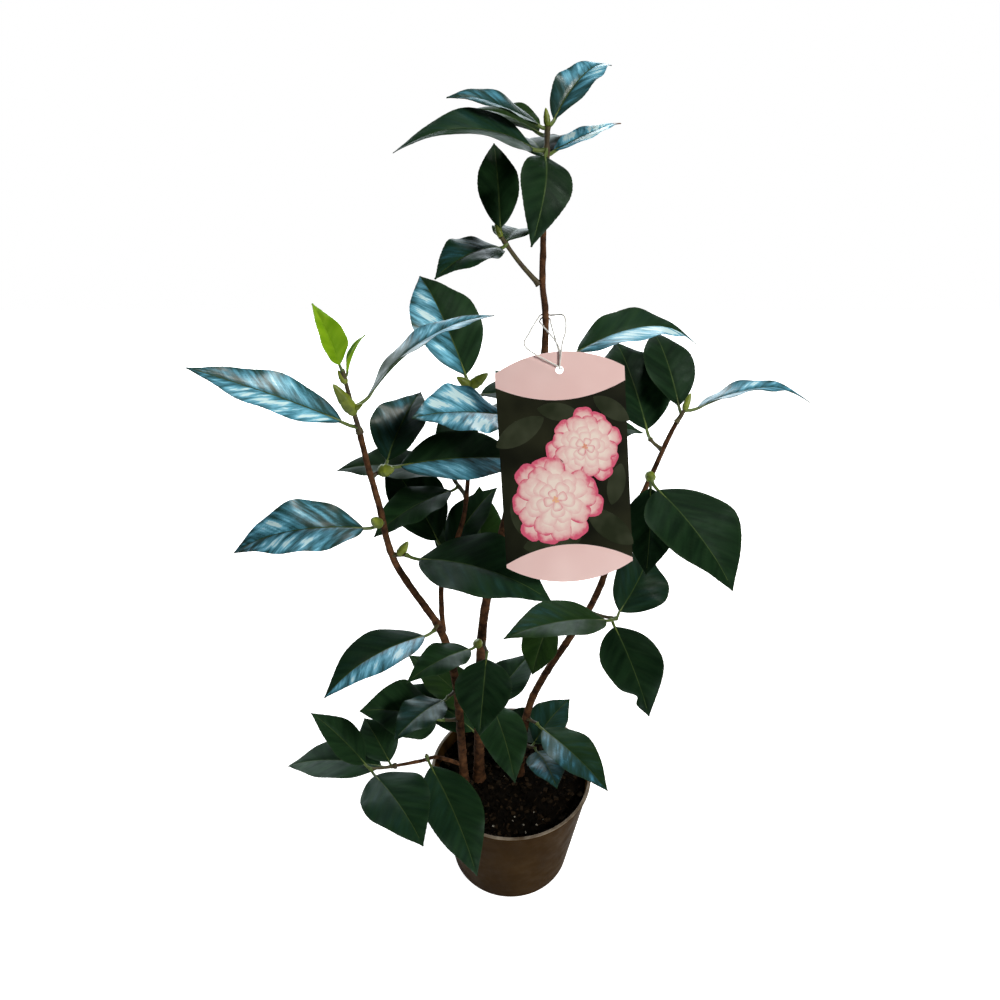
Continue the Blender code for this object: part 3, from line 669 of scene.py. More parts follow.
class Nodes:
    """A node tree, with short ways to add and join nodes."""

    def __init__(self, tree: bpy.types.NodeTree) -> None:
        """Take the tree to work on."""
        self.tree = tree

    def feed(self, socket: Socket, value: Feed) -> None:
        """Link an output to an input, or set the input's own value.

        Args:
            socket: the input.
            value: an output, a number, a vector or a colour.
        """
        if isinstance(value, Socket):
            self.tree.links.new(value, socket)
        else:
            socket.default_value = (*value, 1.0) if socket.type == "RGBA" else value

    def add(self, kind: str, feeds: dict[str | int, Feed], **values: object) -> bpy.types.Node:
        """Add a node.

        Args:
            kind: its type, without the leading ShaderNode.
            feeds: what goes into its inputs, by name or number.
            values: its properties, set before the inputs.

        Returns:
            The node.
        """
        node = self.tree.nodes.new("ShaderNode" + kind)
        for name, value in values.items():
            setattr(node, name, value)
        for name, value in feeds.items():
            self.feed(node.inputs[name], value)
        return node

    def noise(self, given: dict[str, Feed]) -> Socket:
        """Add a noise pattern.

        Args:
            given: its Place, Stretch, Scale, Detail and Finer.

        Returns:
            The pattern's value.
        """
        mapping = self.add("Mapping", {"Vector": given["Place"], "Scale": given["Stretch"]})
        texture = self.add("TexNoise", {"Vector": mapping.outputs["Vector"], "Scale": given["Scale"],
                                        "Detail": given["Detail"], "Roughness": given["Finer"]})
        return texture.outputs["Fac"]

    def over(self, value: Socket, low: Feed, high: Feed, start: Feed = 0.0, end: Feed = 1.0) -> Socket:
        """Return a value's span from start to end carried over to the span from low to high."""
        spans = {"Value": value, "From Min": start, "From Max": end, "To Min": low, "To Max": high}
        return self.add("MapRange", spans).outputs["Result"]

    def times(self, value: Socket, other: Feed, held: bool = False) -> Socket:
        """Return the product of two values, held between 0 and 1 where asked."""
        node = self.add("Math", {0: value, 1: other}, operation="MULTIPLY", use_clamp=held)
        return node.outputs["Value"]

    def blend(self, share: Socket, below: Feed, above: Feed) -> Socket:
        """Return one colour laid over another by a share."""
        return self.add("Mix", {0: share, 6: below, 7: above}, data_type="RGBA").outputs[2]

    def ramp(self, value: Socket, stops: tuple) -> Socket:
        """Turn a value into a colour.

        Args:
            value: the value.
            stops: each position with its colour.

        Returns:
            The colour.
        """
        node = self.add("ValToRGB", {"Fac": value})
        elements = node.color_ramp.elements
        while len(elements) < len(stops):
            elements.new(0.5)
        for element, (position, colour) in zip(elements, stops):
            element.position = position
            element.color = (*colour, 1.0)
        return node.outputs["Color"]


class EffectGroup(Nodes):
    """The node group of one effect, with its named inputs and outputs."""

    def __init__(self, effect: Effect, takes: dict[str, str], gives: dict[str, str]) -> None:
        """Start the group.

        Args:
            effect: the effect it makes.
            takes: its inputs, each with its kind.
            gives: its outputs, each with its kind.
        """
        super().__init__(bpy.data.node_groups.new(effect.value, "ShaderNodeTree"))
        for side, sockets in (("INPUT", takes), ("OUTPUT", gives)):
            for name, kind in sockets.items():
                self.tree.interface.new_socket(name=name, in_out=side, socket_type="NodeSocket" + kind)
        self.given = self.tree.nodes.new("NodeGroupInput").outputs
        self.gives = self.tree.nodes.new("NodeGroupOutput").inputs


@dataclass(frozen=True)
class Effects:
    """The shared effects, each a node group that is built once and placed in every material."""
    drift: Pattern = Pattern(60.0, 2.0, 0.5, (1.0, 0.6, 1.0))
    drift_span: tuple = (0.62, 1.02)
    streak_span: tuple = (0.34, 1.50)
    # Colours of the painted sheen: a sky-blue reflection painted over the leaf, from dark teal to near white.
    wax: tuple = ((0.0, (0.010, 0.034, 0.022)), (0.30, (0.028, 0.100, 0.118)),
                  (0.54, (0.080, 0.270, 0.375)), (0.80, (0.215, 0.560, 0.745)),
                  (1.0, (0.700, 0.900, 0.940)))

    def grain(self) -> None:
        """Build the grain: a noise pattern, plain and stretched over a span."""
        group = EffectGroup(Effect.GRAIN, {**PATTERN_SOCKETS, "Low": "Float", "High": "Float"},
                            {"Pattern": "Float", "Level": "Float"})
        pattern = group.noise(group.given)
        group.feed(group.gives["Pattern"], pattern)
        level = group.over(pattern, group.given["Low"], group.given["High"], *NOISE_SPAN)
        group.feed(group.gives["Level"], level)

    def two_tone(self) -> None:
        """Build the two tones: patches of a dark and a light colour that run into each other."""
        group = EffectGroup(Effect.TWO_TONE, {**PATTERN_SOCKETS, "Start": "Float", "End": "Float",
                                              "Dark": "Color", "Light": "Color"}, {"Colour": "Color"})
        share = group.over(group.noise(group.given), 0.0, 1.0, group.given["Start"], group.given["End"])
        group.feed(group.gives["Colour"], group.blend(share, group.given["Dark"], group.given["Light"]))

    def leaf_wax(self) -> None:
        """Build the painted sheen: a streaky sky-blue reflection painted over a leaf's own colour, and how
        much of the leaf it covers.
        """
        group = EffectGroup(Effect.LEAF_WAX, {"Vane": "Vector", "Sheen": "Float", "Streaks": "Float",
                                              "Reach": "Float", "Below": "Color"},
                            {"Colour": "Color", "Cover": "Float"})
        given = group.given
        streaked = group.times(given["Sheen"], group.over(given["Streaks"], *self.streak_span, *NOISE_SPAN))
        drift = group.over(group.noise(self.drift.at(given["Vane"])), *self.drift_span, *NOISE_SPAN)
        glow = group.times(streaked, drift)
        cover = group.times(glow, given["Reach"], True)
        group.feed(group.gives["Colour"], group.blend(cover, given["Below"], group.ramp(glow, self.wax)))
        group.feed(group.gives["Cover"], cover)

    def build(self) -> None:
        """Build every group."""
        self.grain()
        self.two_tone()
        self.leaf_wax()


class Surface(Nodes):
    """A Principled material and its node tree."""

    def __init__(self, name: str) -> None:
        """Make the material, with its Principled shader and its places on the object.

        Args:
            name: the material's name.
        """
        self.material = bpy.data.materials.new(name)
        self.material.use_nodes = True
        super().__init__(self.material.node_tree)
        self.shader = self.tree.nodes["Principled BSDF"]
        self.place = self.add("TexCoord", {}).outputs["Object"]

    def give(self, **values: Feed) -> None:
        """Feed the shader's own sockets; underscores stand for spaces in their names."""
        for name, value in values.items():
            self.feed(self.shader.inputs[name.replace("_", " ")], value)

    def attribute(self, name: str, output: str = "Fac") -> Socket:
        """Return what the mesh holds under a name."""
        return self.add("Attribute", {}, attribute_name=name).outputs[output]

    def effect(self, kind: Effect, **values: Feed) -> bpy.types.NodeOutputs:
        """Return the outputs of a shared effect, placed with this material's own values."""
        return self.add("Group", values, node_tree=bpy.data.node_groups[kind.value]).outputs

    def grain(self, pattern: Pattern, place: Socket | None = None) -> Socket:
        """Return the plain grain of a pattern."""
        return self.effect(Effect.GRAIN, **pattern.at(place or self.place))["Pattern"]

    def level(self, pattern: Pattern, low: float, high: float) -> Socket:
        """Return the grain of a pattern, stretched from low to high."""
        return self.effect(Effect.GRAIN, **pattern.at(self.place), Low=low, High=high)["Level"]

    def two_tone(self, pattern: Pattern, dark: Colour, light: Colour, place: Socket | None = None,
                 span: tuple = (0.34, 0.68)) -> Socket:
        """Return two colours in patches of a pattern, which turns from one to the other over a span."""
        tones = {"Dark": dark, "Light": light, "Start": span[0], "End": span[1]}
        return self.effect(Effect.TWO_TONE, **pattern.at(place or self.place), **tones)["Colour"]

    def bump(self, height: Socket, strength: float, distance: float, **under: Socket) -> Socket:
        """Return the normal of a surface roughened by a height, over the Normal given, if any."""
        relief = {"Height": height, "Strength": strength, "Distance": distance}
        return self.add("Bump", {**relief, **under}).outputs["Normal"]


@dataclass(frozen=True)
class Finish:
    """A finish by its material's name."""
    name: str

    def coat(self, skin: Surface) -> None:
        """Give a surface its colour, gloss and grain."""

    def build(self) -> Material:
        """Make the finish.

        Returns:
            The material.
        """
        skin = Surface(self.name)
        self.coat(skin)
        return skin.material


@dataclass(frozen=True)
class LeafFinish(Finish):
    """A leaf's upper face: dark and satin, with a sky-blue reflection painted in streaks between the veins,
    and a glossier coat where that painted sheen lies.
    """
    dark: Colour
    light: Colour
    vein: Colour
    vein_share: float = 0.5
    painted_sheen_reach: float = 2.8
    wax_coat: float = 0.42
    gloss_span: tuple = (0.38, 0.54)
    patches: Pattern = Pattern(120.0, 3.0, 0.5, (1.0, 0.35, 1.0))
    streaks: Pattern = Pattern(190.0, 5.0, 0.60, (1.0, 0.34, 1.0))
    quilt: Pattern = Pattern(130.0, 2.0, 0.45, (1.0, 0.30, 1.0))
    gloss: Pattern = Pattern(160.0)

    def coat(self, skin: Surface) -> None:
        """Give a surface its colour, gloss and grain.

        Args:
            skin: the surface.
        """
        vane = skin.attribute("vane", "Vector")
        streaks = skin.grain(self.streaks, vane)
        tones = skin.two_tone(self.patches, self.dark, self.light, vane)
        # The vein colour also fills the pale rim at the margin, a painted edge highlight.
        veined = skin.blend(skin.over(skin.attribute("vein"), 0.0, self.vein_share), tones, self.vein)
        # The painted sheen: a sky-blue reflection painted into the base colour; where it lies, the coat is
        # also glossier.
        wax = skin.effect(Effect.LEAF_WAX, Vane=vane, Sheen=skin.attribute("sheen"), Streaks=streaks,
                          Reach=self.painted_sheen_reach, Below=veined)
        quilted = skin.bump(skin.grain(self.quilt, vane), 0.30, 0.0009)
        skin.give(Specular_IOR_Level=0.08, Coat_Roughness=0.26, Specular_Tint=(0.62, 0.92, 0.86),
                  Coat_Tint=(0.80, 0.95, 1.0), Base_Color=wax["Colour"],
                  Coat_Weight=skin.over(wax["Cover"], 0.0, self.wax_coat),
                  Roughness=skin.level(self.gloss, *self.gloss_span),
                  Normal=skin.bump(streaks, 0.10, 0.0004, Normal=quilted))


@dataclass(frozen=True)
class PatchyFinish(Finish):
    """A plain matter finish: two colours in patches, with grain in its gloss and surface."""
    dark: Colour
    light: Colour
    roughness: float
    patch_scale: float = 60.0
    grain_scale: float = 700.0
    grain: float = 0.2
    depth: float = 0.0004
    specular: float = 0.5
    gloss_scale: float = 0.4
    gloss_span: tuple = (-0.06, 0.08)

    def coat(self, skin: Surface) -> None:
        """Give a surface its colour, gloss and grain.

        Args:
            skin: the surface.
        """
        low, high = (min(self.roughness + shift, 1.0) for shift in self.gloss_span)
        skin.give(Specular_IOR_Level=self.specular,
                  Base_Color=skin.two_tone(Pattern(self.patch_scale, 4.0), self.dark, self.light),
                  Roughness=skin.level(Pattern(self.grain_scale * self.gloss_scale), low, high),
                  Normal=skin.bump(skin.grain(Pattern(self.grain_scale)), self.grain, self.depth))


@dataclass(frozen=True)
class PlasticFinish(Finish):
    """Moulded pot plastic: satin, faintly dusty, with fine rings from its mould."""
    base: Colour = (0.038, 0.019, 0.005)
    dusty: Colour = (0.064, 0.035, 0.011)
    dust: Pattern = Pattern(26.0, 6.0, 0.62)
    dust_span: tuple = (0.40, 0.80)
    gloss: Pattern = Pattern(90.0, 5.0)
    gloss_span: tuple = (0.36, 0.58)
    rings: Pattern = Pattern(240.0, 2.0, 0.5, (0.06, 0.06, 3.0))
    pores: Pattern = Pattern(1500.0, 2.0)

    def coat(self, skin: Surface) -> None:
        """Give a surface its colour, gloss and grain.

        Args:
            skin: the surface.
        """
        ringed = skin.bump(skin.grain(self.rings), 0.10, 0.0003)
        skin.give(Specular_IOR_Level=0.02, Roughness=skin.level(self.gloss, *self.gloss_span),
                  Base_Color=skin.two_tone(self.dust, self.base, self.dusty, None, self.dust_span),
                  Normal=skin.bump(skin.grain(self.pores), 0.10, 0.0002, Normal=ringed))


@dataclass(frozen=True)
class InkFinish(Finish):
    """Print on the label: glossy, its colour shifting softly between two tones."""
    dark: Colour
    light: Colour
    scale: float = 45.0
    tone_span: tuple = (0.35, 0.66)

    def coat(self, skin: Surface) -> None:
        """Give a surface its colour, gloss and grain.

        Args:
            skin: the surface.
        """
        tones = skin.two_tone(Pattern(self.scale, 2.0), self.dark, self.light, None, self.tone_span)
        skin.give(Specular_IOR_Level=0.12, Roughness=0.36, Base_Color=tones)


@dataclass(frozen=True)
class PetalInk(Finish):
    """Print of a petal: pale, turning to a stronger colour in soft flecks towards its edge."""
    middle: Colour
    edge: Colour
    flecks: Pattern = Pattern(260.0)
    fleck: float = 0.11
    edge_share: float = 0.4

    def coat(self, skin: Surface) -> None:
        """Give a surface its colour, gloss and grain.

        Args:
            skin: the surface.
        """
        flecks = skin.level(self.flecks, -self.fleck, self.fleck)
        tone = skin.add("Math", {0: flecks, 1: skin.attribute("vein")}, operation="ADD")
        halfway = tuple(a + (b - a) * self.edge_share for a, b in zip(self.middle, self.edge))
        stops = ((0.34, self.middle), (0.74, halfway), (0.96, self.edge))
        skin.give(Specular_IOR_Level=0.4, Roughness=0.34,
                  Base_Color=skin.ramp(tone.outputs["Value"], stops))


class Finishes:
    """Every finish of the part, built once."""

    def __init__(self) -> None:
        """Build the shared effects, then every material."""
        Effects().build()
        vein = (0.034, 0.066, 0.026)
        self.uppers = [
            LeafFinish("leaf_upper_deep", (0.003, 0.012, 0.004), (0.009, 0.028, 0.010), vein).build(),
            LeafFinish("leaf_upper_mid", (0.006, 0.021, 0.007), (0.014, 0.042, 0.014), vein).build(),
            LeafFinish("leaf_upper_olive", (0.009, 0.027, 0.005), (0.020, 0.050, 0.010), vein).build(),
        ]
        self.under = PatchyFinish("leaf_under", (0.020, 0.048, 0.014), (0.036, 0.070, 0.020), 0.60,
                                  50.0, 800.0, 0.12, 0.0004, 0.08).build()
        self.rib = PatchyFinish("leaf_rib", (0.024, 0.050, 0.014), (0.044, 0.080, 0.024), 0.50,
                                90.0, 600.0, 0.1, 0.0004, 0.10).build()
        self.young = LeafFinish("leaf_young", (0.120, 0.270, 0.004), (0.220, 0.400, 0.012),
                                (0.34, 0.52, 0.05)).build()
        self.dead = PatchyFinish("leaf_dead_tip", (0.09, 0.035, 0.012), (0.20, 0.090, 0.030), 0.7,
                                 200.0).build()
        self.stalk = PatchyFinish("leaf_stalk", (0.055, 0.095, 0.014), (0.120, 0.175, 0.030), 0.50,
                                  120.0, 900.0, 0.12).build()
        self.twig = PatchyFinish("shoot_skin", (0.040, 0.024, 0.011), (0.080, 0.074, 0.020), 0.65,
                                 140.0, 900.0, 0.3).build()
        self.bark = PatchyFinish("stem_bark", (0.026, 0.011, 0.005), (0.140, 0.062, 0.026), 0.85,
                                 170.0, 900.0, 0.6, 0.0006, 0.15).build()
        self.bud = PatchyFinish("bud_scale", (0.085, 0.125, 0.010), (0.230, 0.290, 0.028), 0.45,
                                160.0, 900.0, 0.12).build()
        self.pot = PlasticFinish("pot_satin_plastic").build()
        # Pale colour for the lip's top faces: a painted highlight along the rim.
        self.painted_rim_highlight = PatchyFinish("pot_worn_edge", (0.090, 0.062, 0.036), (0.300, 0.250, 0.190), 0.5,
                                     70.0, 700.0, 0.1, 0.0002, 0.3).build()
        self.soil = PatchyFinish("compost_fine", (0.002, 0.0015, 0.001), (0.007, 0.005, 0.003), 0.95,
                                 260.0, 1400.0, 0.9, 0.0012, 0.03).build()
        self.chip = PatchyFinish("compost_chip", (0.006, 0.004, 0.002), (0.034, 0.021, 0.011), 0.9,
                                 300.0, 1200.0, 0.6, 0.0006, 0.05).build()
        self.grit = PatchyFinish("compost_grit", (0.16, 0.15, 0.12), (0.34, 0.32, 0.27), 0.85,
                                 300.0).build()
        self.card = PatchyFinish("label_card", (0.78, 0.76, 0.74), (0.84, 0.82, 0.80), 0.38,
                                 30.0, 900.0, 0.03, 0.0001).build()
        self.string = PatchyFinish("tie_string", (0.62, 0.62, 0.60), (0.86, 0.86, 0.84), 0.75,
                                   400.0, 2600.0, 0.5, 0.0003).build()


# ---- mesh helpers


class Bundle:
    """Many small parts, gathered to be made into one mesh."""

    def __init__(self) -> None:
        """Start with nothing."""
        self.parts: list[tuple] = []
        self.count = 0

    def add(self, points: Array, quads: Array, slots: Array | int = 0, veins: Array | float = 0.0,
            painted_sheens: Array | float = 0.0, vanes: Array | tuple = (0.0, 0.0, 0.0)) -> None:
        """Add one part.

        Args:
            points: its points, one row each.
            quads: its faces by four point numbers; a triangle repeats its last.
            slots: the material slot of each face, or one for all.
            veins: how far each point is on a vein, or one value for all.
            painted_sheens: how strongly each point is painted with a sky-blue reflection, or one value for
                all.
            vanes: where each point lies along the midrib, along its side vein and among leaves.
        """
        count = len(points)
        self.parts.append((points, quads + self.count, np.broadcast_to(slots, len(quads)),
                           np.broadcast_to(veins, count), np.broadcast_to(painted_sheens, count),
                           np.broadcast_to(vanes, (count, 3))))
        self.count += count

    def build(self, name: str, materials: list[Material], sharp: float = 40.0) -> Piece:
        """Make the mesh.

        Args:
            name: the piece's name.
            materials: its material slots in order.
            sharp: edges above this angle in degrees stay sharp.

        Returns:
            The piece, linked to the scene.
        """
        points, quads, slots, veins, painted_sheens, vanes = (np.concatenate(rows) for rows in zip(*self.parts))
        sizes = np.where(quads[:, 2] == quads[:, 3], 3, 4)
        keep = np.ones(quads.shape, dtype=bool)
        keep[:, 3] = sizes == 4
        loops = quads[keep]
        mesh = bpy.data.meshes.new(name)
        mesh.vertices.add(len(points))
        mesh.vertices.foreach_set("co", points.astype(np.float32).ravel())
        mesh.loops.add(len(loops))
        mesh.loops.foreach_set("vertex_index", loops.astype(np.int32))
        mesh.polygons.add(len(quads))
        mesh.polygons.foreach_set("loop_start", (np.cumsum(sizes) - sizes).astype(np.int32))
        mesh.polygons.foreach_set("material_index", slots.astype(np.int32))
        mesh.update(calc_edges=True)
        # The second mark is the painted sheen: how strongly each point is painted with a sky-blue reflection.
        marks = (("vein", "FLOAT", "value", veins), ("sheen", "FLOAT", "value", painted_sheens),
                 ("vane", "FLOAT_VECTOR", "vector", vanes))
        for mark, kind, key, values in marks:
            data = mesh.attributes.new(mark, kind, "POINT").data
            data.foreach_set(key, values.astype(np.float32).ravel())
        for material in materials:
            mesh.materials.append(material)
        mesh.shade_smooth()
        mesh.set_sharp_from_angle(angle=math.radians(sharp))
        piece = bpy.data.objects.new(name, mesh)
        bpy.context.scene.collection.objects.link(piece)
        return piece


def square_frames(line: Array) -> tuple[Array, Array]:
    """Carry two directions square to a line along it without twist.

    Args:
        line: points along the line.

    Returns:
        The first and second directions at each point.
    """
    runs = np.gradient(line, axis=0)
    runs = runs / np.linalg.norm(runs, axis=1, keepdims=True)
    helper = (0.0, 1.0, 0.0) if abs(runs[0, 1]) < 0.8 else (1.0, 0.0, 0.0)
    side = np.cross(runs[0], helper)
    firsts, seconds = [], []
    for run in runs:
        side = side - run * side.dot(run)
        side = side / np.linalg.norm(side)
        firsts.append(side)
        seconds.append(np.cross(run, side))
    return np.array(firsts), np.array(seconds)


def sweep(line: Array, radii: Array, sides: int, closed_loop: bool = False) -> tuple[Array, Array]:
    """Make a round tube along a line.

    Args:
        line: points along its middle.
        radii: its radius at each point, or at each point and side.
        sides: how many sides it has.
        closed_loop: whether its end joins its start.

    Returns:
        The points and the faces, with round caps closed to a point where it is open.
    """
    firsts, seconds = square_frames(line)
    turns = np.arange(sides) * math.tau / sides
    radii = np.asarray(radii)
    if radii.ndim == 1:
        radii = np.repeat(radii[:, None], sides, axis=1)
    rings = (line[:, None, :] + radii[:, :, None] * (np.cos(turns)[None, :, None] * firsts[:, None, :]
                                                     + np.sin(turns)[None, :, None] * seconds[:, None, :]))
    count, around = len(line), np.arange(sides)
    points, after = rings.reshape(-1, 3), (around + 1) % sides
    near = np.arange(count if closed_loop else count - 1)[:, None] * sides
    far = (near + sides) % (count * sides)
    quads = np.stack([near + around, near + after, far + after, far + around], axis=2).reshape(-1, 4)
    if closed_loop:
        return points, quads
    last, foot, tip = (count - 1) * sides, np.full(sides, count * sides), np.full(sides, count * sides + 1)
    caps = [np.stack([after, around, foot, foot], axis=1),
            np.stack([last + around, last + after, tip, tip], axis=1)]
    return np.concatenate([points, line[:1], line[-1:]]), np.concatenate([quads, *caps])


def turned(middle: tuple, along: float, wide: float, turn: float) -> Spot:
    """Return the flat place that lies along and to the left of a middle after a turn."""
    return (middle[0] + along * math.cos(turn) - wide * math.sin(turn),
            middle[1] + along * math.sin(turn) + wide * math.cos(turn))


def fine_line(points: list[Vector] | Array, step: float) -> Array:
    """Return an even, smooth line through points as an array."""
    return np.array([tuple(p) for p in smooth_line(points, step)])


def sunk_start(line: list[Vector], depth: float) -> Vector:
    """Return a place behind a line's start, inside what the line grows from."""
    return line[0] - (line[1] - line[0]).normalized() * depth


def start_piece(name: str) -> Piece:
    """Return the object that the last primitive made, once it has its name."""
    bpy.context.object.name = bpy.context.object.data.name = name
    return bpy.context.object


def deselect() -> None:
    """Leave nothing selected."""
    if bpy.context.object and bpy.context.object.mode != "OBJECT":
        bpy.ops.object.mode_set(mode="OBJECT")
    bpy.ops.object.select_all(action="DESELECT")


def pick(piece: Piece) -> None:
    """Select one piece alone.

    Args:
        piece: the piece.
    """
    deselect()
    piece.select_set(True)
    bpy.context.view_layer.objects.active = piece


def pick_faces(piece: Piece, test: Callable[[Vector, Vector], bool]) -> None:
    """Select some faces of a piece and enter edit mode.

    Args:
        piece: the piece.
        test: tells from a face's centre and normal whether it is picked.
    """
    bpy.context.view_layer.objects.active = piece
    if piece.mode != "OBJECT":
        bpy.ops.object.mode_set(mode="OBJECT")
    mesh = piece.data
    for part in (*mesh.edges, *mesh.vertices):
        part.select = False
    for face in mesh.polygons:
        face.select = test(face.center, face.normal)
    bpy.ops.object.mode_set(mode="EDIT")
    bpy.ops.mesh.select_mode(type="FACE")


def carve(piece: Piece, cutter: Piece) -> None:
    """Cut one piece by another, which is then removed.

    Args:
        piece: the piece.
        cutter: the shape to take out of it.
    """
    cut = piece.modifiers.new("cut", "BOOLEAN")
    cut.operation = "DIFFERENCE"
    cut.object = cutter
    pick(piece)
    bpy.ops.object.modifier_apply(modifier=cut.name)
    bpy.data.objects.remove(cutter, do_unlink=True)


def settle(piece: Piece) -> None:
    """Give a piece its place and size in its mesh, so its object rests at the origin."""
    pick(piece)
    bpy.ops.object.transform_apply(location=True, rotation=True, scale=True)


def dress(piece: Piece, slot: str, *nodes: str) -> None:
    """Put a piece on the part's body, in place of its solids.

    Args:
        piece: the piece.
        slot: its material slot; not used.
        nodes: the solids it stands for.
    """
    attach(piece, "root")
    if nodes:
        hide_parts(*nodes)
    LOG.info("%s: %d faces, for %s", piece.name, len(piece.data.polygons), ", ".join(nodes) or "detail")


# ---- the pieces


@dataclass
class Woodwork:
    """Stems and boughs with bark: ridges, leaf scars at the nodes and small warts."""
    plant: Plant
    finishes: Finishes
    sides: int = 18
    step: float = 0.0014
    ridge: float = 0.10
    ridge_round: float = 1.6
    ridge_along: float = 110.0
    node_gap: float = 0.031
    node_width: float = 0.07
    node_swell: float = 0.16
    node_turn: float = 2.4
    overlap: float = 0.0028
    foot_swell: float = 0.35
    foot_reach: float = 0.006
    foot_sunk: float = 0.004
    seed_step: float = 7.3

    def relief(self, line: Array, radii: Array, seed: float) -> Array:
        """Work out the bark's relief.

        Args:
            line: points along the limb.
            radii: its plain radius at each.
            seed: shifts the pattern from limb to limb.

        Returns:
            The radius at each point and side.
        """
        run = np.concatenate([[0.0], np.cumsum(np.linalg.norm(np.diff(line, axis=0), axis=1))])
        joints = run / self.node_gap
        swell = np.exp(-((joints % 1.0 - 0.5) / self.node_width) ** 2) * self.node_swell
        turns = np.arange(self.sides) * math.tau / self.sides
        rough = np.empty((len(line), self.sides))
        for k, turn in enumerate(turns):
            ring = Vector((math.cos(turn), math.sin(turn), 0.0)) * self.ridge_round
            for i, place in enumerate(run):
                spot = ring + Vector((seed, seed, place * self.ridge_along))
                rough[i, k] = noise.fractal(spot, 0.7, 2.1, 4)
        side_swell = 0.6 + 0.4 * np.cos(turns + joints[:, None].astype(int) * self.node_turn)
        return radii[:, None] * (1.0 + self.ridge * rough + swell[:, None] * side_swell)

    def build(self) -> None:
        """Make every limb as a piece of its own."""
        for number, limb in enumerate(LIMBS):
            path = self.plant.paths[limb.name]
            joint = [sunk_start(path.line, self.overlap)] if limb.grows_from else []
            line = fine_line([*joint, *path.line], self.step)
            radii = np.linspace(path.root_radius, path.tip_radius, len(line))
            if not limb.grows_from:
                foot = np.exp(-np.arange(len(line)) * self.step / self.foot_reach)
                radii = radii * (1.0 + self.foot_swell * foot)
                line[0, 2] -= self.foot_sunk
            bundle = Bundle()
            bundle.add(*sweep(line, self.relief(line, radii, number * self.seed_step), self.sides))
            dress(bundle.build("bark_" + limb.name, [self.finishes.bark], sharp=60.0), "bark", limb.name)


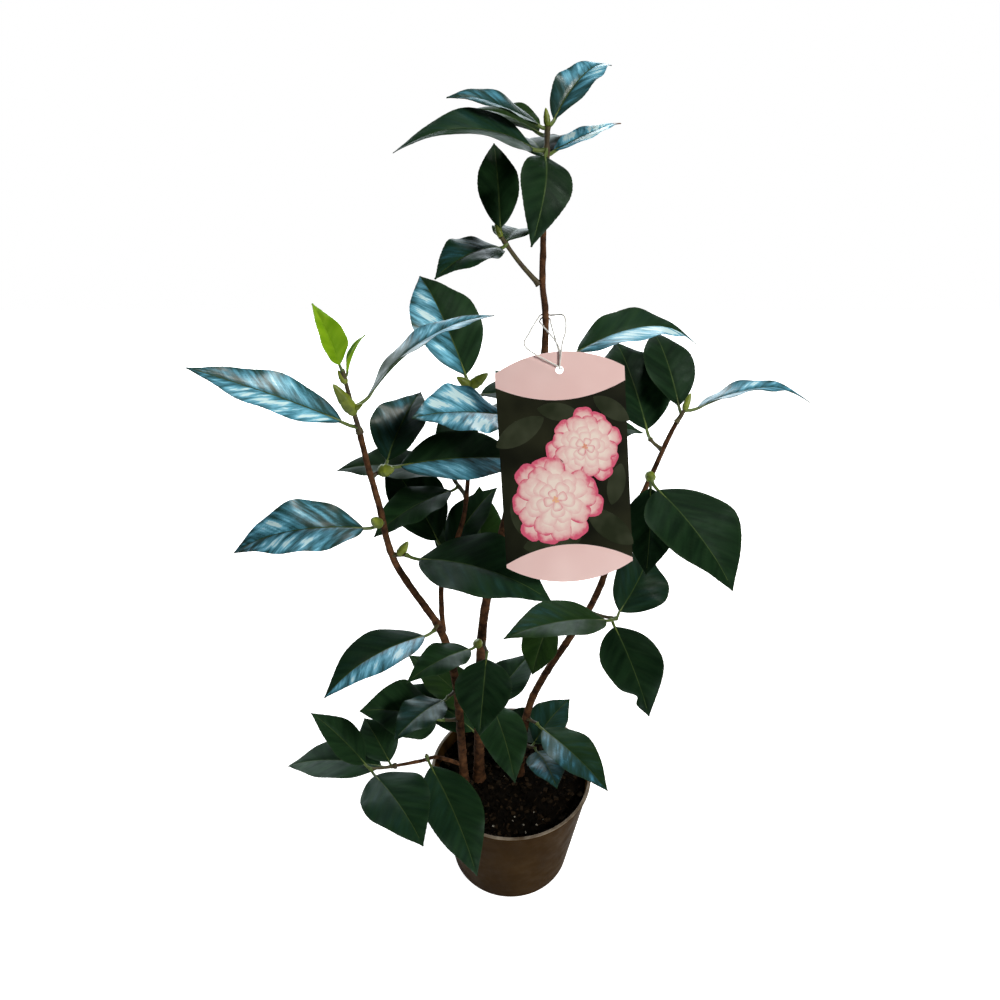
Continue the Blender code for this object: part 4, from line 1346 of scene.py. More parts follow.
@dataclass
class Blade:
    """One blade's fine shape: groove, veins, quilting, teeth, ripple, twist and drawn tip."""
    groove: float = 0.00042
    groove_reach: float = 0.0010
    vein_depth: float = 0.00007
    quilt: float = 0.00008
    vein_pairs: float = 8.0
    vein_slant: float = 1.9
    vein_curve: float = 0.85
    vein_width: float = 0.11
    vein_pitch: float = 1.15
    teeth: float = 26.0
    tooth_depth: float = 0.00030
    rib_half: float = 0.00055
    rib_depth: float = 0.0009
    rib_reach: float = 0.0007
    thickness: float = 0.00050
    rim_thickness: float = 0.00026
    full_quilt: float = 0.006
    full_ripple: float = 0.012
    ripple_turns: tuple = (2.2, 3.4)
    ripple_height: tuple = (0.0005, 0.0012)
    lean: float = 9.0
    lean_start: float = 0.25
    sway: float = 0.018
    curl: tuple = (0.010, 0.030)
    curl_start: float = 0.72
    bite: tuple = (0.80, 0.055, 0.62)
    # Shape of the painted sheen, a sky-blue reflection painted along each half of the blade
    painted_sheen_rise: tuple = (0.25, 0.35)
    painted_sheen_crown: tuple = (0.56, 0.50)
    painted_sheen_swing: float = 0.16
    streak_depth: float = 0.62

    def phase(self, share: Array, across: Array) -> Array:
        """Return where each place lies among the side veins, with 1 from each vein to the next."""
        return share * self.vein_pairs - self.vein_slant * np.abs(across) ** self.vein_curve

    def vein_mask(self, share: Array, across: Array) -> Array:
        """Work out how close each place is to a side vein.

        Args:
            share: places along the blade.
            across: places across it.

        Returns:
            The closeness at each place, from 0 to 1.
        """
        reach = np.abs(across)
        off = np.abs(self.phase(share, across) % 1.0 - 0.5)
        ridge = np.exp(-((0.5 - off) / self.vein_width) ** 2)
        return ridge * np.clip(1.15 - reach, 0.0, 1.0) * np.clip(reach * 8.0, 0.0, 1.0)

    def painted_sheen_mask(self, sheen: Sheen, share: Array, across: Array, draw: random.Random) -> Array:
        """Work out how strongly each place is painted with sheen, a painted sky-blue reflection.

        Args:
            sheen: the leaf's painted sheen.
            share: places along the blade.
            across: places across it.
            draw: the leaf's own seeded draws.

        Returns:
            The painted sheen at each place, a sky-blue reflection in uneven streaks that follow the side
            veins.
        """
        reach, phase = np.abs(across), self.phase(share, across)
        shift, tilt = draw.uniform(0.0, 6.0), draw.uniform(0.0, 6.0)
        wander = 0.9 * np.sin(phase * 1.7 + shift) + 0.6 * np.sin(reach * 7.0 + share * 13.0 + tilt)
        streak = 0.5 + 0.5 * np.cos(math.tau * phase + wander) + 0.3 * np.sin(phase * 2.3 + tilt)
        level = np.where(across > 0, sheen.left, sheen.right)
        fade = np.clip(np.sin(math.pi * np.clip(share, 0.0, 1.0)), 0.0, 1.0) ** 0.3
        rise_start, rise_run = self.painted_sheen_rise
        rise = np.clip((share - rise_start) / rise_run, 0.0, 1.0)
        along = sheen.foot + (1.0 - sheen.foot) * rise * rise * (3.0 - 2.0 * rise)
        crown = self.painted_sheen_crown[0] + self.painted_sheen_crown[1] * np.sin(math.pi * np.clip(reach, 0.0, 1.0))
        swing = 1.0 + self.painted_sheen_swing * np.sin(share * 5.3 + shift)
        dulled = 1.0 - sheen.streak * self.streak_depth * np.clip(streak, 0, 1)
        return level * fade * along * crown * swing * dulled

    def vane_map(self, leaf: Leaf, share: Array, across: Array, half: Array, number: float) -> Array:
        """Lay a leaf out along its veins.

        Args:
            leaf: the leaf's sizes.
            share: places along the blade.
            across: places across it.
            half: the half width at each place.
            number: sets this leaf's pattern apart.

        Returns:
            For each place, metres along the midrib to its side vein's foot, metres along that side
            vein, and the leaf's own shift, larger on its left half.
        """
        out = np.abs(across) * half
        foot = share * leaf.length - out * self.vein_pitch
        return np.stack([foot, out, number + 0.5 * (across > 0)], axis=1)

    def shape(self, leaf: Leaf, node: Array, blank: tuple, draw: random.Random) -> tuple[Array, Array]:
        """Bend the flat blank into one leaf.

        Args:
            leaf: the leaf's sizes.
            node: where its stalk leaves the shoot.
            blank: the flat blade's places along, across and up or down.
            draw: the leaf's own seeded draws.

        Returns:
            The points, and how far each is on a vein, with a paler band along the midrib and a pale rim at
            the margin that is a painted edge highlight.
        """
        share, across, face = blank
        along, side, upper = leaf_axes(leaf)
        blade = leaf.length * (1.0 - STALK_SHARE)
        half = half_width(share, leaf.width)
        reach = np.abs(across)
        tooth = ((share * self.teeth) % 1.0) * self.tooth_depth * np.clip(share * 6 - 0.6, 0, 1)
        edge = tooth * np.clip((1.0 - share) * 12, 0, 1) * reach ** 10
        if leaf.flaw is Flaw.BITTEN:
            place, width, depth = self.bite
            half = half * (1.0 - depth * np.exp(-((share - place) / width) ** 2) * (across < 0))
        lean = math.radians(draw.uniform(-self.lean, self.lean))
        tilt = lean * (share - self.lean_start) + math.radians(leaf.twist) * share
        turns = draw.uniform(*self.ripple_turns)
        ripple = draw.uniform(*self.ripple_height) * np.sin(math.tau * (turns * share + draw.random()))
        sway = draw.uniform(-self.sway, self.sway) * blade * np.sin(math.pi * share)
        curled = np.clip((share - self.curl_start) / (1.0 - self.curl_start), 0, 1) ** 2
        curl = draw.uniform(*self.curl) * blade * curled
        veins = self.vein_mask(share, across)
        distance = reach * half
        lift = leaf.arch * blade * 4.0 * share * (1.0 - share) - curl - tip_hook(leaf, share)
        lift = lift + ripple * reach ** 3 * np.clip(half / self.full_ripple, 0, 1)
        relief = self.quilt * (1.0 - veins) * np.sin(math.pi * np.clip(reach, 0, 1)) ** 0.7
        relief = relief - self.vein_depth * veins - self.groove * np.exp(-(distance / self.groove_reach) ** 2)
        relief = relief * np.clip(half / self.full_quilt, 0, 1)
        body = self.rim_thickness + (self.thickness - self.rim_thickness) * (1.0 - reach ** 6)
        rib = self.rib_depth * np.exp(-(distance / self.rib_reach) ** 2) * (face < 0) * (1.0 - 0.8 * share)
        flat = across * half + np.sign(across) * edge
        raised = leaf.fold * reach * half * np.sin(math.pi * np.minimum(share * 1.1, 1.0)) ** 0.5 + relief
        wide = flat * np.cos(tilt) - raised * np.sin(tilt) + sway
        high = flat * np.sin(tilt) + raised * np.cos(tilt) + lift + face * body / 2 - rib
        root = node + along * (leaf.length * STALK_SHARE)
        points = root + np.outer(share * blade, along) + np.outer(wide, side) + np.outer(high, upper)
        # The value rises along the midrib and at the margin, where the pale rim is a painted edge highlight.
        return points, veins * 0.25 + 0.2 * np.exp(-(distance / 0.0016) ** 2) + 0.5 * reach ** 24


@dataclass
class Foliage:
    """Every shoot's leaves, stalks, stems and buds, joined each kind apart."""
    plant: Plant
    finishes: Finishes
    long_cuts: int = 66
    cross_cuts: int = 20
    rib_share: float = 0.1
    rib_end: float = 0.93
    dead_start: float = 0.90
    leaf_groups: int = 3
    stalk_sides: int = 10
    stalk_step: float = 0.0012
    stalk_joins: tuple = (0.0, 0.05, 0.12)
    stalk_under: float = 0.0006
    stalk_bend: float = 0.45
    stalk_drop: float = 0.0008
    stalk_size: tuple = (0.75, 0.35)
    stalk_girth: tuple = ((0, 0.12, 0.6, 1.0), (1.6, 1.0, 0.85, 0.35))
    long_leaf: float = 0.09
    stem_sides: int = 12
    stem_step: float = 0.0010
    stem_sunk: float = 0.0018
    stem_taper: tuple = (1.25, 0.85)
    joint_swell: float = 0.22
    joint_reach: float = 0.0016
    foot_swell: float = 0.5
    foot_reach: float = 0.002
    bud_rows: int = 22
    bud_sides: int = 16
    bud_scales: int = 4
    blade: Blade = field(default_factory=Blade)

    UNDER_SLOT = 3
    RIB_SLOT = 4
    YOUNG_SLOT = 5
    DEAD_SLOT = 6

    def blank(self) -> tuple[Array, Array, Array, Array, Array]:
        """Model the flat blade once: a grid with even cuts, given its thickness.

        Returns:
            Places along, across and up or down for each point; the faces; and the side of each
            face: 1 upper, -1 under, 0 rim.
        """
        deselect()
        bpy.ops.mesh.primitive_grid_add(x_subdivisions=self.long_cuts, y_subdivisions=self.cross_cuts,
                                        size=2.0)
        piece = start_piece("leaf_blank")
        pick_faces(piece, lambda centre, normal: True)
        bpy.ops.mesh.extrude_region_move(TRANSFORM_OT_translate={"value": (0, 0, 1.0)})
        bpy.ops.mesh.select_all(action="SELECT")
        bpy.ops.mesh.normals_make_consistent(inside=False)
        bpy.ops.object.mode_set(mode="OBJECT")
        mesh = piece.data
        flat = np.empty(len(mesh.vertices) * 3)
        mesh.vertices.foreach_get("co", flat)
        flat = flat.reshape(-1, 3)
        quads = np.array([tuple(face.vertices) for face in mesh.polygons])
        sides = np.array([round(face.normal.z) for face in mesh.polygons])
        bpy.data.objects.remove(piece, do_unlink=True)
        return (flat[:, 0] + 1.0) / 2.0, flat[:, 1], flat[:, 2] * 2.0 - 1.0, quads, sides

    def leaf_quads(self, blank: tuple, upper_slot: int, leaf: Leaf) -> Array:
        """Give each face of one leaf its material slot.

        Args:
            blank: the flat blade.
            upper_slot: the slot of its upper face.
            leaf: the leaf.

        Returns:
            The slots.
        """
        share, across, _, quads, sides = blank
        middle = share[quads].mean(axis=1)
        offset = np.abs(across[quads].mean(axis=1))
        slots = np.where(sides < 0, self.UNDER_SLOT, upper_slot)
        if leaf.age is Age.YOUNG:
            return np.full(len(quads), self.YOUNG_SLOT)
        slots = np.where((offset < self.rib_share) & (sides != 0) & (middle < self.rib_end),
                         self.RIB_SLOT, slots)
        if leaf.flaw is Flaw.DEAD_TIP:
            slots = np.where(middle > self.dead_start, self.DEAD_SLOT, slots)
        return slots

    def add_leaf(self, bundle: Bundle, blank: tuple, leaf: Leaf, node: Array, key: str) -> None:
        """Add one blade to a bundle.

        Args:
            bundle: where it goes.
            blank: the flat blade.
            leaf: the leaf's sizes.
            node: where its stalk leaves the shoot.
            key: seeds its own draws.
        """
        share, across, face, quads, _ = blank
        draw = random.Random(key)
        half = half_width(share, leaf.width)
        rib = np.minimum(self.blade.rib_half * (1.0 - 0.6 * share) / half, 0.45)
        reach = np.abs(across)
        inner = reach / self.rib_share * rib
        outer = rib + (reach - self.rib_share) / (1.0 - self.rib_share) * (1.0 - rib)
        placed = np.sign(across) * np.where(reach <= self.rib_share + 1e-6, inner, outer)
        points, veins = self.blade.shape(leaf, node, (share, placed, face), draw)
        slots = self.leaf_quads(blank, draw.choice(UPPER_TONES), leaf)
        # The painted sheen: where the upper face is painted with a sky-blue reflection.
        painted_sheens = self.blade.painted_sheen_mask(leaf.sheen, share, placed, draw)
        bundle.add(points, quads, slots, veins, painted_sheens,
                   self.blade.vane_map(leaf, share, placed, half, draw.uniform(0.0, 9.0)))

    def build_leaves(self) -> None:
        """Make the blades, in a few pieces of neighbouring shoots."""
        blank = self.blank()
        materials = [*self.finishes.uppers, self.finishes.under, self.finishes.rib,
                     self.finishes.young, self.finishes.dead]
        total = sum(len(grown.leaves) for grown in self.plant.shoots)
        limit = math.ceil(total / self.leaf_groups)
        bundle, names, held, number = Bundle(), [], 0, 1
        for grown in self.plant.shoots:
            for place, leaf in enumerate(grown.leaves):
                self.add_leaf(bundle, blank, leaf, grown.node(leaf.at), f"{grown.shoot.name}-{place}")
            held += len(grown.leaves)
            names.append(grown.shoot.name)
            if held >= limit or grown is self.plant.shoots[-1]:
                dress(bundle.build(f"leaves_{number}", materials), "foliage", *names)
                bundle, names, held, number = Bundle(), [], 0, number + 1

    def build_stalks(self) -> None:
        """Make the leaf stalks, each flared where it leaves the shoot."""
        bundle = Bundle()
        for grown in self.plant.shoots:
            for leaf in grown.leaves:
                node = grown.node(leaf.at)
                ends = plain_blade(leaf, node, np.array(self.stalk_joins), np.zeros(len(self.stalk_joins)))
                ends = ends - leaf_axes(leaf)[2] * self.stalk_under
                start = node + (ends[0] - node) * self.stalk_bend - np.array((0, 0, self.stalk_drop))
                line = fine_line([node, start, *ends], self.stalk_step)
                least, more = self.stalk_size
                size = least + more * min(leaf.length / self.long_leaf, 1.0)
                girth = np.interp(np.linspace(0, 1, len(line)), *self.stalk_girth)
                bundle.add(*sweep(line, STALK_RADIUS * size * girth, self.stalk_sides))
        dress(bundle.build("leaf_stalks", [self.finishes.stalk]), "foliage")

    def build_stems(self) -> None:
        """Make the shoots' own stems, with small swellings where leaves join."""
        bundle = Bundle()
        for grown in self.plant.shoots:
            line = fine_line([sunk_start(grown.line, self.stem_sunk), *grown.line], self.stem_step)
            thick, thin = (grown.shoot.radius * part for part in self.stem_taper)
            radii, share = np.linspace(thick, thin, len(line)), np.linspace(0, 1, len(line))
            for leaf in grown.leaves:
                off = (share - leaf.at) * grown.shoot.length
                radii = radii * (1.0 + self.joint_swell * np.exp(-(off / self.joint_reach) ** 2))
            radii = radii * (1.0 + self.foot_swell * np.exp(-share * grown.shoot.length / self.foot_reach))
            bundle.add(*sweep(line, radii, self.stem_sides))
        dress(bundle.build("shoot_stems", [self.finishes.twig]), "foliage")

    def bud(self, bud: Bud, node: Array) -> tuple[Array, Array]:
        """Make one bud: an egg with overlapping pointed scales.

        Args:
            bud: its sizes.
            node: its foot.

        Returns:
            Its points and faces.
        """
        along = np.array(direction(bud.heading, bud.rise))
        share = np.linspace(0.0, 1.0, self.bud_rows)
        girth = np.sqrt(np.clip(np.sin(math.pi * (0.10 + 0.90 * share ** 0.8)), 0, 1)) * (1 - 0.25 * share)
        girth = np.maximum(girth, 0.05)
        turns = np.arange(self.bud_sides) / self.bud_sides
        scales = share[:, None] * self.bud_scales
        layer = scales + np.abs((turns[None, :] * 2.0 + np.floor(scales) * 0.25) % 1.0 - 0.5)
        step = 1.0 + 0.16 * (1.0 - layer % 1.0) * (1.0 - share[:, None] * 0.6)
        radii = bud.width / 2 * girth[:, None] * step * 0.93
        return sweep(node + np.outer(share * bud.length, along), radii, self.bud_sides)

    def build_buds(self) -> None:
        """Make the buds at the leaf joints and tips."""
        bundle = Bundle()
        for grown in self.plant.shoots:
            for bud in grown.shoot.buds:
                bundle.add(*self.bud(bud, grown.node(bud.at)))
        dress(bundle.build("buds", [self.finishes.bud], sharp=55.0), "foliage")

    def build(self) -> None:
        """Make everything green."""
        self.build_leaves()
        self.build_stalks()
        self.build_stems()
        self.build_buds()


@dataclass
class NurseryPot:
    """The moulded pot: tapered wall, rolled lip, recessed foot and drainage holes."""
    finishes: Finishes
    sides: int = 128
    foot_ring: float = 0.005
    foot_recess: float = 0.0008
    hole_count: int = 8
    hole_radius: float = 0.0035
    hole_circle: float = 0.041
    hole_sides: int = 24
    # How far below the lip's top the painted rim highlight reaches
    worn_edge: float = 0.0009
    start_inset: float = 0.0008
    start_height: float = 0.0004
    foot_bevel: float = 0.0012
    lip_bevel: float = 0.0008
    wall_steps: int = 6

    def profile(self) -> list[Spot]:
        """Draw the wall's outline after the foot.

        Returns:
            Its points by radius and height.
        """
        lip_foot = POT_HEIGHT - RIM_HEIGHT
        inner_top = POT_TOP_RADIUS - RIM_LIP - POT_WALL
        shares = [i / self.wall_steps for i in range(self.wall_steps + 1)]
        wall = [(POT_BASE_RADIUS + (POT_TOP_RADIUS - RIM_LIP - POT_BASE_RADIUS) * share,
                 self.foot_bevel + (lip_foot - self.foot_bevel) * share) for share in shares]
        return wall + [
            (POT_TOP_RADIUS - 0.0003, lip_foot + 0.0003), (POT_TOP_RADIUS, lip_foot + self.lip_bevel),
            (POT_TOP_RADIUS, POT_HEIGHT - self.lip_bevel), (POT_TOP_RADIUS - 0.0004, POT_HEIGHT - 0.0002),
            (POT_TOP_RADIUS - 0.0009, POT_HEIGHT), (inner_top + 0.0003, POT_HEIGHT - 0.0001),
            (inner_top, POT_HEIGHT - self.lip_bevel), (inner_top - 0.0006, POT_HEIGHT - RIM_HEIGHT),
        ]

    def build(self) -> None:
        """Model the pot from a disc, extruded and scaled ring by ring."""
        deselect()
        radius, height = POT_BASE_RADIUS - self.start_inset, self.start_height
        bpy.ops.mesh.primitive_cylinder_add(vertices=self.sides, radius=radius, depth=height,
                                            location=(0, 0, height / 2))
        pot = start_piece("nursery_pot")
        settle(pot)
        pick_faces(pot, lambda centre, normal: normal.z > 0.9)
        for next_radius, next_height in self.profile():
            self.ring(next_radius / radius, next_height - height)
            radius, height = next_radius, next_height
        self.ring((POT_BASE_RADIUS - POT_WALL) / radius, POT_FLOOR - height)
        pick_faces(pot, lambda centre, normal: normal.z < -0.9 and centre.z < 0.0001)
        bpy.ops.mesh.inset(thickness=self.foot_ring)
        bpy.ops.mesh.inset(thickness=0.0004, depth=-self.foot_recess)
        bpy.ops.object.mode_set(mode="OBJECT")
        self.drill(pot)
        pot.data.materials.append(self.finishes.pot)
        pot.data.materials.append(self.finishes.painted_rim_highlight)
        # The lip's top faces take the pale second material, a painted highlight along the rim.
        for face in pot.data.polygons:
            face.material_index = int(face.center.z > POT_HEIGHT - self.worn_edge)
        pot.data.shade_smooth()
        pot.data.set_sharp_from_angle(angle=math.radians(35.0))
        dress(pot, "pot_plastic", "pot")

    def ring(self, scale: float, rise: float) -> None:
        """Extrude the selected disc by a rise and scale it about the pot's middle."""
        bpy.ops.mesh.extrude_region_move(TRANSFORM_OT_translate={"value": (0, 0, rise)})
        bpy.ops.transform.resize(value=(scale, scale, 1.0), center_override=(0, 0, 0))

    def drill(self, pot: Piece) -> None:
        """Cut the ring of drainage holes through the floor.

        Args:
            pot: the pot.
        """
        for k in range(self.hole_count):
            turn = math.tau * (k + 0.5) / self.hole_count
            spot = (self.hole_circle * math.cos(turn), self.hole_circle * math.sin(turn), 0.001)
            deselect()
            bpy.ops.mesh.primitive_cylinder_add(vertices=self.hole_sides, radius=self.hole_radius,
                                                depth=POT_FLOOR * 4, location=spot)
            carve(pot, start_piece("drill"))


@dataclass
class Compost:
    """The compost's crumbly top, with bark chips, fibres and pale grit lying in it."""
    finishes: Finishes
    rings: int = 46
    sides: int = 150
    relief: float = 0.0032
    chips: int = 900
    fibres: int = 90
    grit: int = 30
    chip_size: tuple = (0.0012, 0.0048)
    chip_flat: tuple = (0.25, 0.7)
    grit_size: tuple = (0.0008, 0.0019)
    grit_flat: float = 0.8
    fibre_reach: tuple = (0.004, 0.011)
    fibre_radius: tuple = (0.00014, 0.0003)
    fibre_rise: tuple = (-0.05, 0.12)
    fibre_bend: float = 0.3
    fibre_lift: float = 0.0004
    fibre_step: float = 0.0012
    bits_reach: float = 0.965
    fibres_end: float = 0.97
    skirt: float = 0.004
    skirt_width: float = 0.0004
    crumb_scale: float = 62.0
    stem_clear: float = 0.0065
    seed: int = 31

    def height(self, x: float, y: float) -> float:
        """Work out the bed's height, which is a little lower towards the wall.

        Args:
            x: the place's x.
            y: its y.

        Returns:
            The height there.
        """
        spot = Vector((x * self.crumb_scale, y * self.crumb_scale, 1.7))
        crumbs = noise.fractal(spot, 0.75, 2.0, 5)
        edge = (math.hypot(x, y) / BED_RADIUS) ** 4
        return SOIL_TOP + self.relief * (0.45 * crumbs - 0.6 * edge)

    def build_bed(self) -> None:
        """Model the bed from a disc, inset ring by ring and then raised into crumbs."""
        deselect()
        bpy.ops.mesh.primitive_circle_add(vertices=self.sides, radius=BED_RADIUS, fill_type="NGON",
                                          location=(0, 0, SOIL_TOP))
        bed = start_piece("compost_bed")
        settle(bed)
        pick_faces(bed, lambda centre, normal: True)
        for _ in range(self.rings):
            bpy.ops.mesh.inset(thickness=BED_RADIUS / (self.rings + 1))
        bpy.ops.mesh.poke()
        bpy.ops.object.mode_set(mode="OBJECT")
        rim = BED_RADIUS - self.skirt_width
        for vertex in bed.data.vertices:
            x, y, _ = vertex.co
            vertex.co.z = self.height(x, y) - self.skirt * (math.hypot(x, y) > rim)
        bed.data.materials.append(self.finishes.soil)
        bed.data.shade_smooth()
        dress(bed, "compost", "compost")

    def spot(self, draw: random.Random) -> Spot:
        """Draw a place on the bed, clear of the stems.

        Args:
            draw: the seeded draws.

        Returns:
            Its x and y.
        """
        feet = [limb.points[0] for limb in LIMBS if not limb.grows_from]
        while True:
            reach = BED_RADIUS * self.bits_reach * math.sqrt(draw.random())
            turn = draw.uniform(0, math.tau)
            x, y = reach * math.cos(turn), reach * math.sin(turn)
            if all(math.hypot(x - foot[0], y - foot[1]) > self.stem_clear for foot in feet):
                return x, y

    def crumb(self, draw: random.Random, size: float, flat: float) -> tuple[Array, Array]:
        """Make one rough lump or chip lying in the bed.

        Args:
            draw: the seeded draws.
            size: its length.
            flat: how thin it is against its length.

        Returns:
            Its points and faces.
        """
        corners = np.array([(x, y, z) for x in (-1, 1) for y in (-1, 1) for z in (-1, 1)], dtype=float)
        corners *= np.array((0.5, draw.uniform(0.25, 0.5), 0.5 * flat)) * size
        corners += np.array([[draw.uniform(-0.12, 0.12) * size for _ in range(3)] for _ in range(8)])
        spin = Matrix.Rotation(draw.uniform(0, math.tau), 3, "Z")
        spin = spin @ Matrix.Rotation(draw.uniform(-0.6, 0.6), 3, "X")
        x, y = self.spot(draw)
        place = np.array((x, y, self.height(x, y) + size * flat * 0.18))
        points = corners @ np.array(spin).T + place
        quads = np.array(((0, 1, 3, 2), (4, 6, 7, 5), (0, 4, 5, 1), (2, 3, 7, 6), (0, 2, 6, 4), (1, 5, 7, 3)))
        return points, quads

    def build_bits(self) -> None:
        """Scatter the chips, fibres and grit."""
        draw = random.Random(self.seed)
        bundle = Bundle()
        for _ in range(self.chips):
            points, quads = self.crumb(draw, draw.uniform(*self.chip_size), draw.uniform(*self.chip_flat))
            bundle.add(points, quads, draw.choice((0, 0, 1)))
        for _ in range(self.grit):
            points, quads = self.crumb(draw, draw.uniform(*self.grit_size), self.grit_flat)
            bundle.add(points, quads, 2)
        for _ in range(self.fibres):
            x, y = self.spot(draw)
            turn = draw.uniform(0, math.tau)
            reach = draw.uniform(*self.fibre_reach)
            start = np.array((x, y, self.height(x, y) + self.fibre_lift))
            run = np.array((math.cos(turn), math.sin(turn), draw.uniform(*self.fibre_rise))) * reach
            bend = np.array((-run[1], run[0], 0.0)) * draw.uniform(-self.fibre_bend, self.fibre_bend)
            far = start + run
            if math.hypot(far[0], far[1]) > BED_RADIUS * self.fibres_end:
                continue
            line = fine_line([start, start + run / 2 + bend, far], self.fibre_step)
            bundle.add(*sweep(line, np.full(len(line), draw.uniform(*self.fibre_radius)), 5), 1)
        matter = [self.finishes.soil, self.finishes.chip, self.finishes.grit]
        dress(bundle.build("compost_bits", matter, sharp=20.0), "compost")

    def build(self) -> None:
        """Make the bed and what lies in it."""
        self.build_bed()
        self.build_bits()


@dataclass
class Label:
    """The hanging label: pink ends, a dark printed panel and blossoms of its own design."""
    finishes: Finishes
    head_edge: tuple = (0.0195, 0.0290)
    foot_edge: tuple = (0.0130, 0.0235)
    layer: float = 0.00006
    arc_steps: int = 24
    petal_steps: int = 28
    petal_rings: tuple = ((9, 1.00, 0.72, 1.06), (9, 0.86, 0.62, 0.95), (8, 0.71, 0.54, 0.72),
                          (7, 0.56, 0.46, 0.66), (5, 0.41, 0.42, 0.70), (4, 0.25, 0.28, 0.86))
    heart_dots: int = 7
    heart_share: float = 0.026
    leaf_marks: tuple = ((-0.026, -0.047, 0.5, 0.034), (0.026, -0.108, -0.7, 0.036),
                         (-0.010, -0.116, 0.1, 0.036), (-0.028, -0.100, 1.9, 0.028),
                         (0.030, -0.036, 2.5, 0.026), (0.031, -0.082, 1.3, 0.026),
                         (-0.002, -0.036, -0.2, 0.026))
    blossoms: tuple = ((0.0130, -0.0580, 0.0235, 0.3), (-0.0065, -0.0895, 0.0290, 1.1))

    def at(self, x: float, y: float, out: float) -> Vector:
        """Return the place of a point on the label, out being its height above the middle."""
        return LABEL_TOP + LABEL_ACROSS * x + LABEL_UP * y + LABEL_OUT * out

    def outline(self) -> list[Spot]:
        """Draw the card's outline, with curved ends.

        Returns:
            Its corners.
        """
        half = LABEL_WIDTH / 2
        radius = (half ** 2 + LABEL_RISE ** 2) / (2 * LABEL_RISE)
        reach = math.asin(half / radius)
        arc = [-reach + 2 * reach * i / self.arc_steps for i in range(self.arc_steps + 1)]
        top = [(radius * math.sin(t), radius * (math.cos(t) - 1)) for t in arc]
        return top + [(x, -LABEL_HEIGHT - y) for x, y in reversed(top)]

    def sheet(self, bundle: Bundle, outline: list[Spot], low: float, high: float, slot: int,
              edge_tone: float = 0.0) -> None:
        """Add a flat closed shape, fanned from its middle.

        Args:
            bundle: where it goes.
            outline: its corners.
            low: its back's height above the card's middle.
            high: its face's height.
            slot: its material slot.
            edge_tone: how strong its edge colour is at the outline; it fades to the middle.
        """
        count = len(outline)
        middle = (sum(x for x, _ in outline) / count, sum(y for _, y in outline) / count)
        points = [self.at(x, y, out) for out in (high, low) for x, y in outline]
        points += [self.at(*middle, out) for out in (high, low)]
        quads = []
        for i in range(count):
            j = (i + 1) % count
            quads += [(i, 2 * count, j, j), (count + i, count + j, 2 * count + 1, 2 * count + 1),
                      (i, j, count + j, count + i)]
        tones = np.array([edge_tone] * (2 * count) + [0.0, 0.0])
        bundle.add(np.array([tuple(p) for p in points]), np.array(quads), slot, tones)

    def petal(self, centre: Spot, turn: float, length: float, width: float) -> list[Spot]:
        """Draw one petal: narrow at its foot, round and a little notched at its end.

        Args:
            centre: the flower's middle.
            turn: the way it points.
            length: its length.
            width: its width.

        Returns:
            Its outline.
        """
        outline = []
        for t in (math.tau * i / self.petal_steps for i in range(self.petal_steps)):
            along = length * (0.52 - 0.50 * math.cos(t)) * (1.0 - 0.05 * max(-math.cos(t), 0.0) ** 12)
            wide = width * 0.5 * math.sin(t) * (0.68 - 0.32 * math.cos(t))
            outline.append(turned(centre, along, wide, turn))
        return outline

    def blossom(self, bundle: Bundle, centre: Spot, size: float, spin: float, level: float) -> None:
        """Add one open flower, its petals cream with rose edges, and its small warm heart.

        Args:
            bundle: where it goes.
            centre: its middle on the label.
            size: its radius.
            spin: how far it is turned.
            level: the height of the print below it.
        """
        for layer, (count, reach, width, tone) in enumerate(self.petal_rings):
            for k in range(count):
                turn = spin + math.tau * (k + 0.5 * layer) / count + 0.13 * math.sin(k * 2.1 + layer)
                long = size * reach * (1.0 + 0.06 * math.sin(k * 3.7 + layer * 1.9))
                high = level + self.layer * (layer + 0.1 * (k % 3) + 1)
                self.sheet(bundle, self.petal(centre, turn, long, size * width), level, high, 3, tone)
        grain = size * self.heart_share
        for k in range(self.heart_dots):
            spot = turned(centre, grain * math.sqrt(k), 0.0, k * 2.4)
            dot = [turned(spot, grain, 0.0, math.tau * i / 8) for i in range(8)]
            self.sheet(bundle, dot, level, level + self.layer * 8, 4)

    def punch(self, piece: Piece) -> None:
        """Cut the hole for the string through a piece.

        Args:
            piece: the piece.
        """
        line = np.array([tuple(self.at(0, -HOLE_DROP, out)) for out in (-PUNCH_REACH, 0.0, PUNCH_REACH)])
        cutter = Bundle()
        cutter.add(*sweep(line, np.full(3, HOLE_RADIUS), 32))
        carve(piece, cutter.build("punch", []))
        piece.data.shade_flat()

    def lens(self, top: bool) -> list[Spot]:
        """Draw a coloured end: the card's own curve and a curve towards its middle.

        Args:
            top: whether it is the upper end.

        Returns:
            Its outline.
        """
        outline = self.outline()
        count = len(outline) // 2
        arc = outline[:count]
        side, middle = self.head_edge if top else self.foot_edge
        inner = []
        for x, _ in reversed(arc):
            bow = 1.0 - (x / (LABEL_WIDTH / 2)) ** 2
            inner.append((x, -side - (middle - side) * bow))
        if top:
            return arc + inner
        return [(x, -LABEL_HEIGHT - y) for x, y in arc + inner]

    def build(self) -> None:
        """Make the card with its hole, then the print on its face."""
        card = Bundle()
        half = LABEL_THICKNESS / 2
        self.sheet(card, self.outline(), -half, half, 0)
        piece = card.build("label_card", [self.finishes.card])
        self.punch(piece)
        dress(piece, "label_card", "label")
        self.build_print(half)

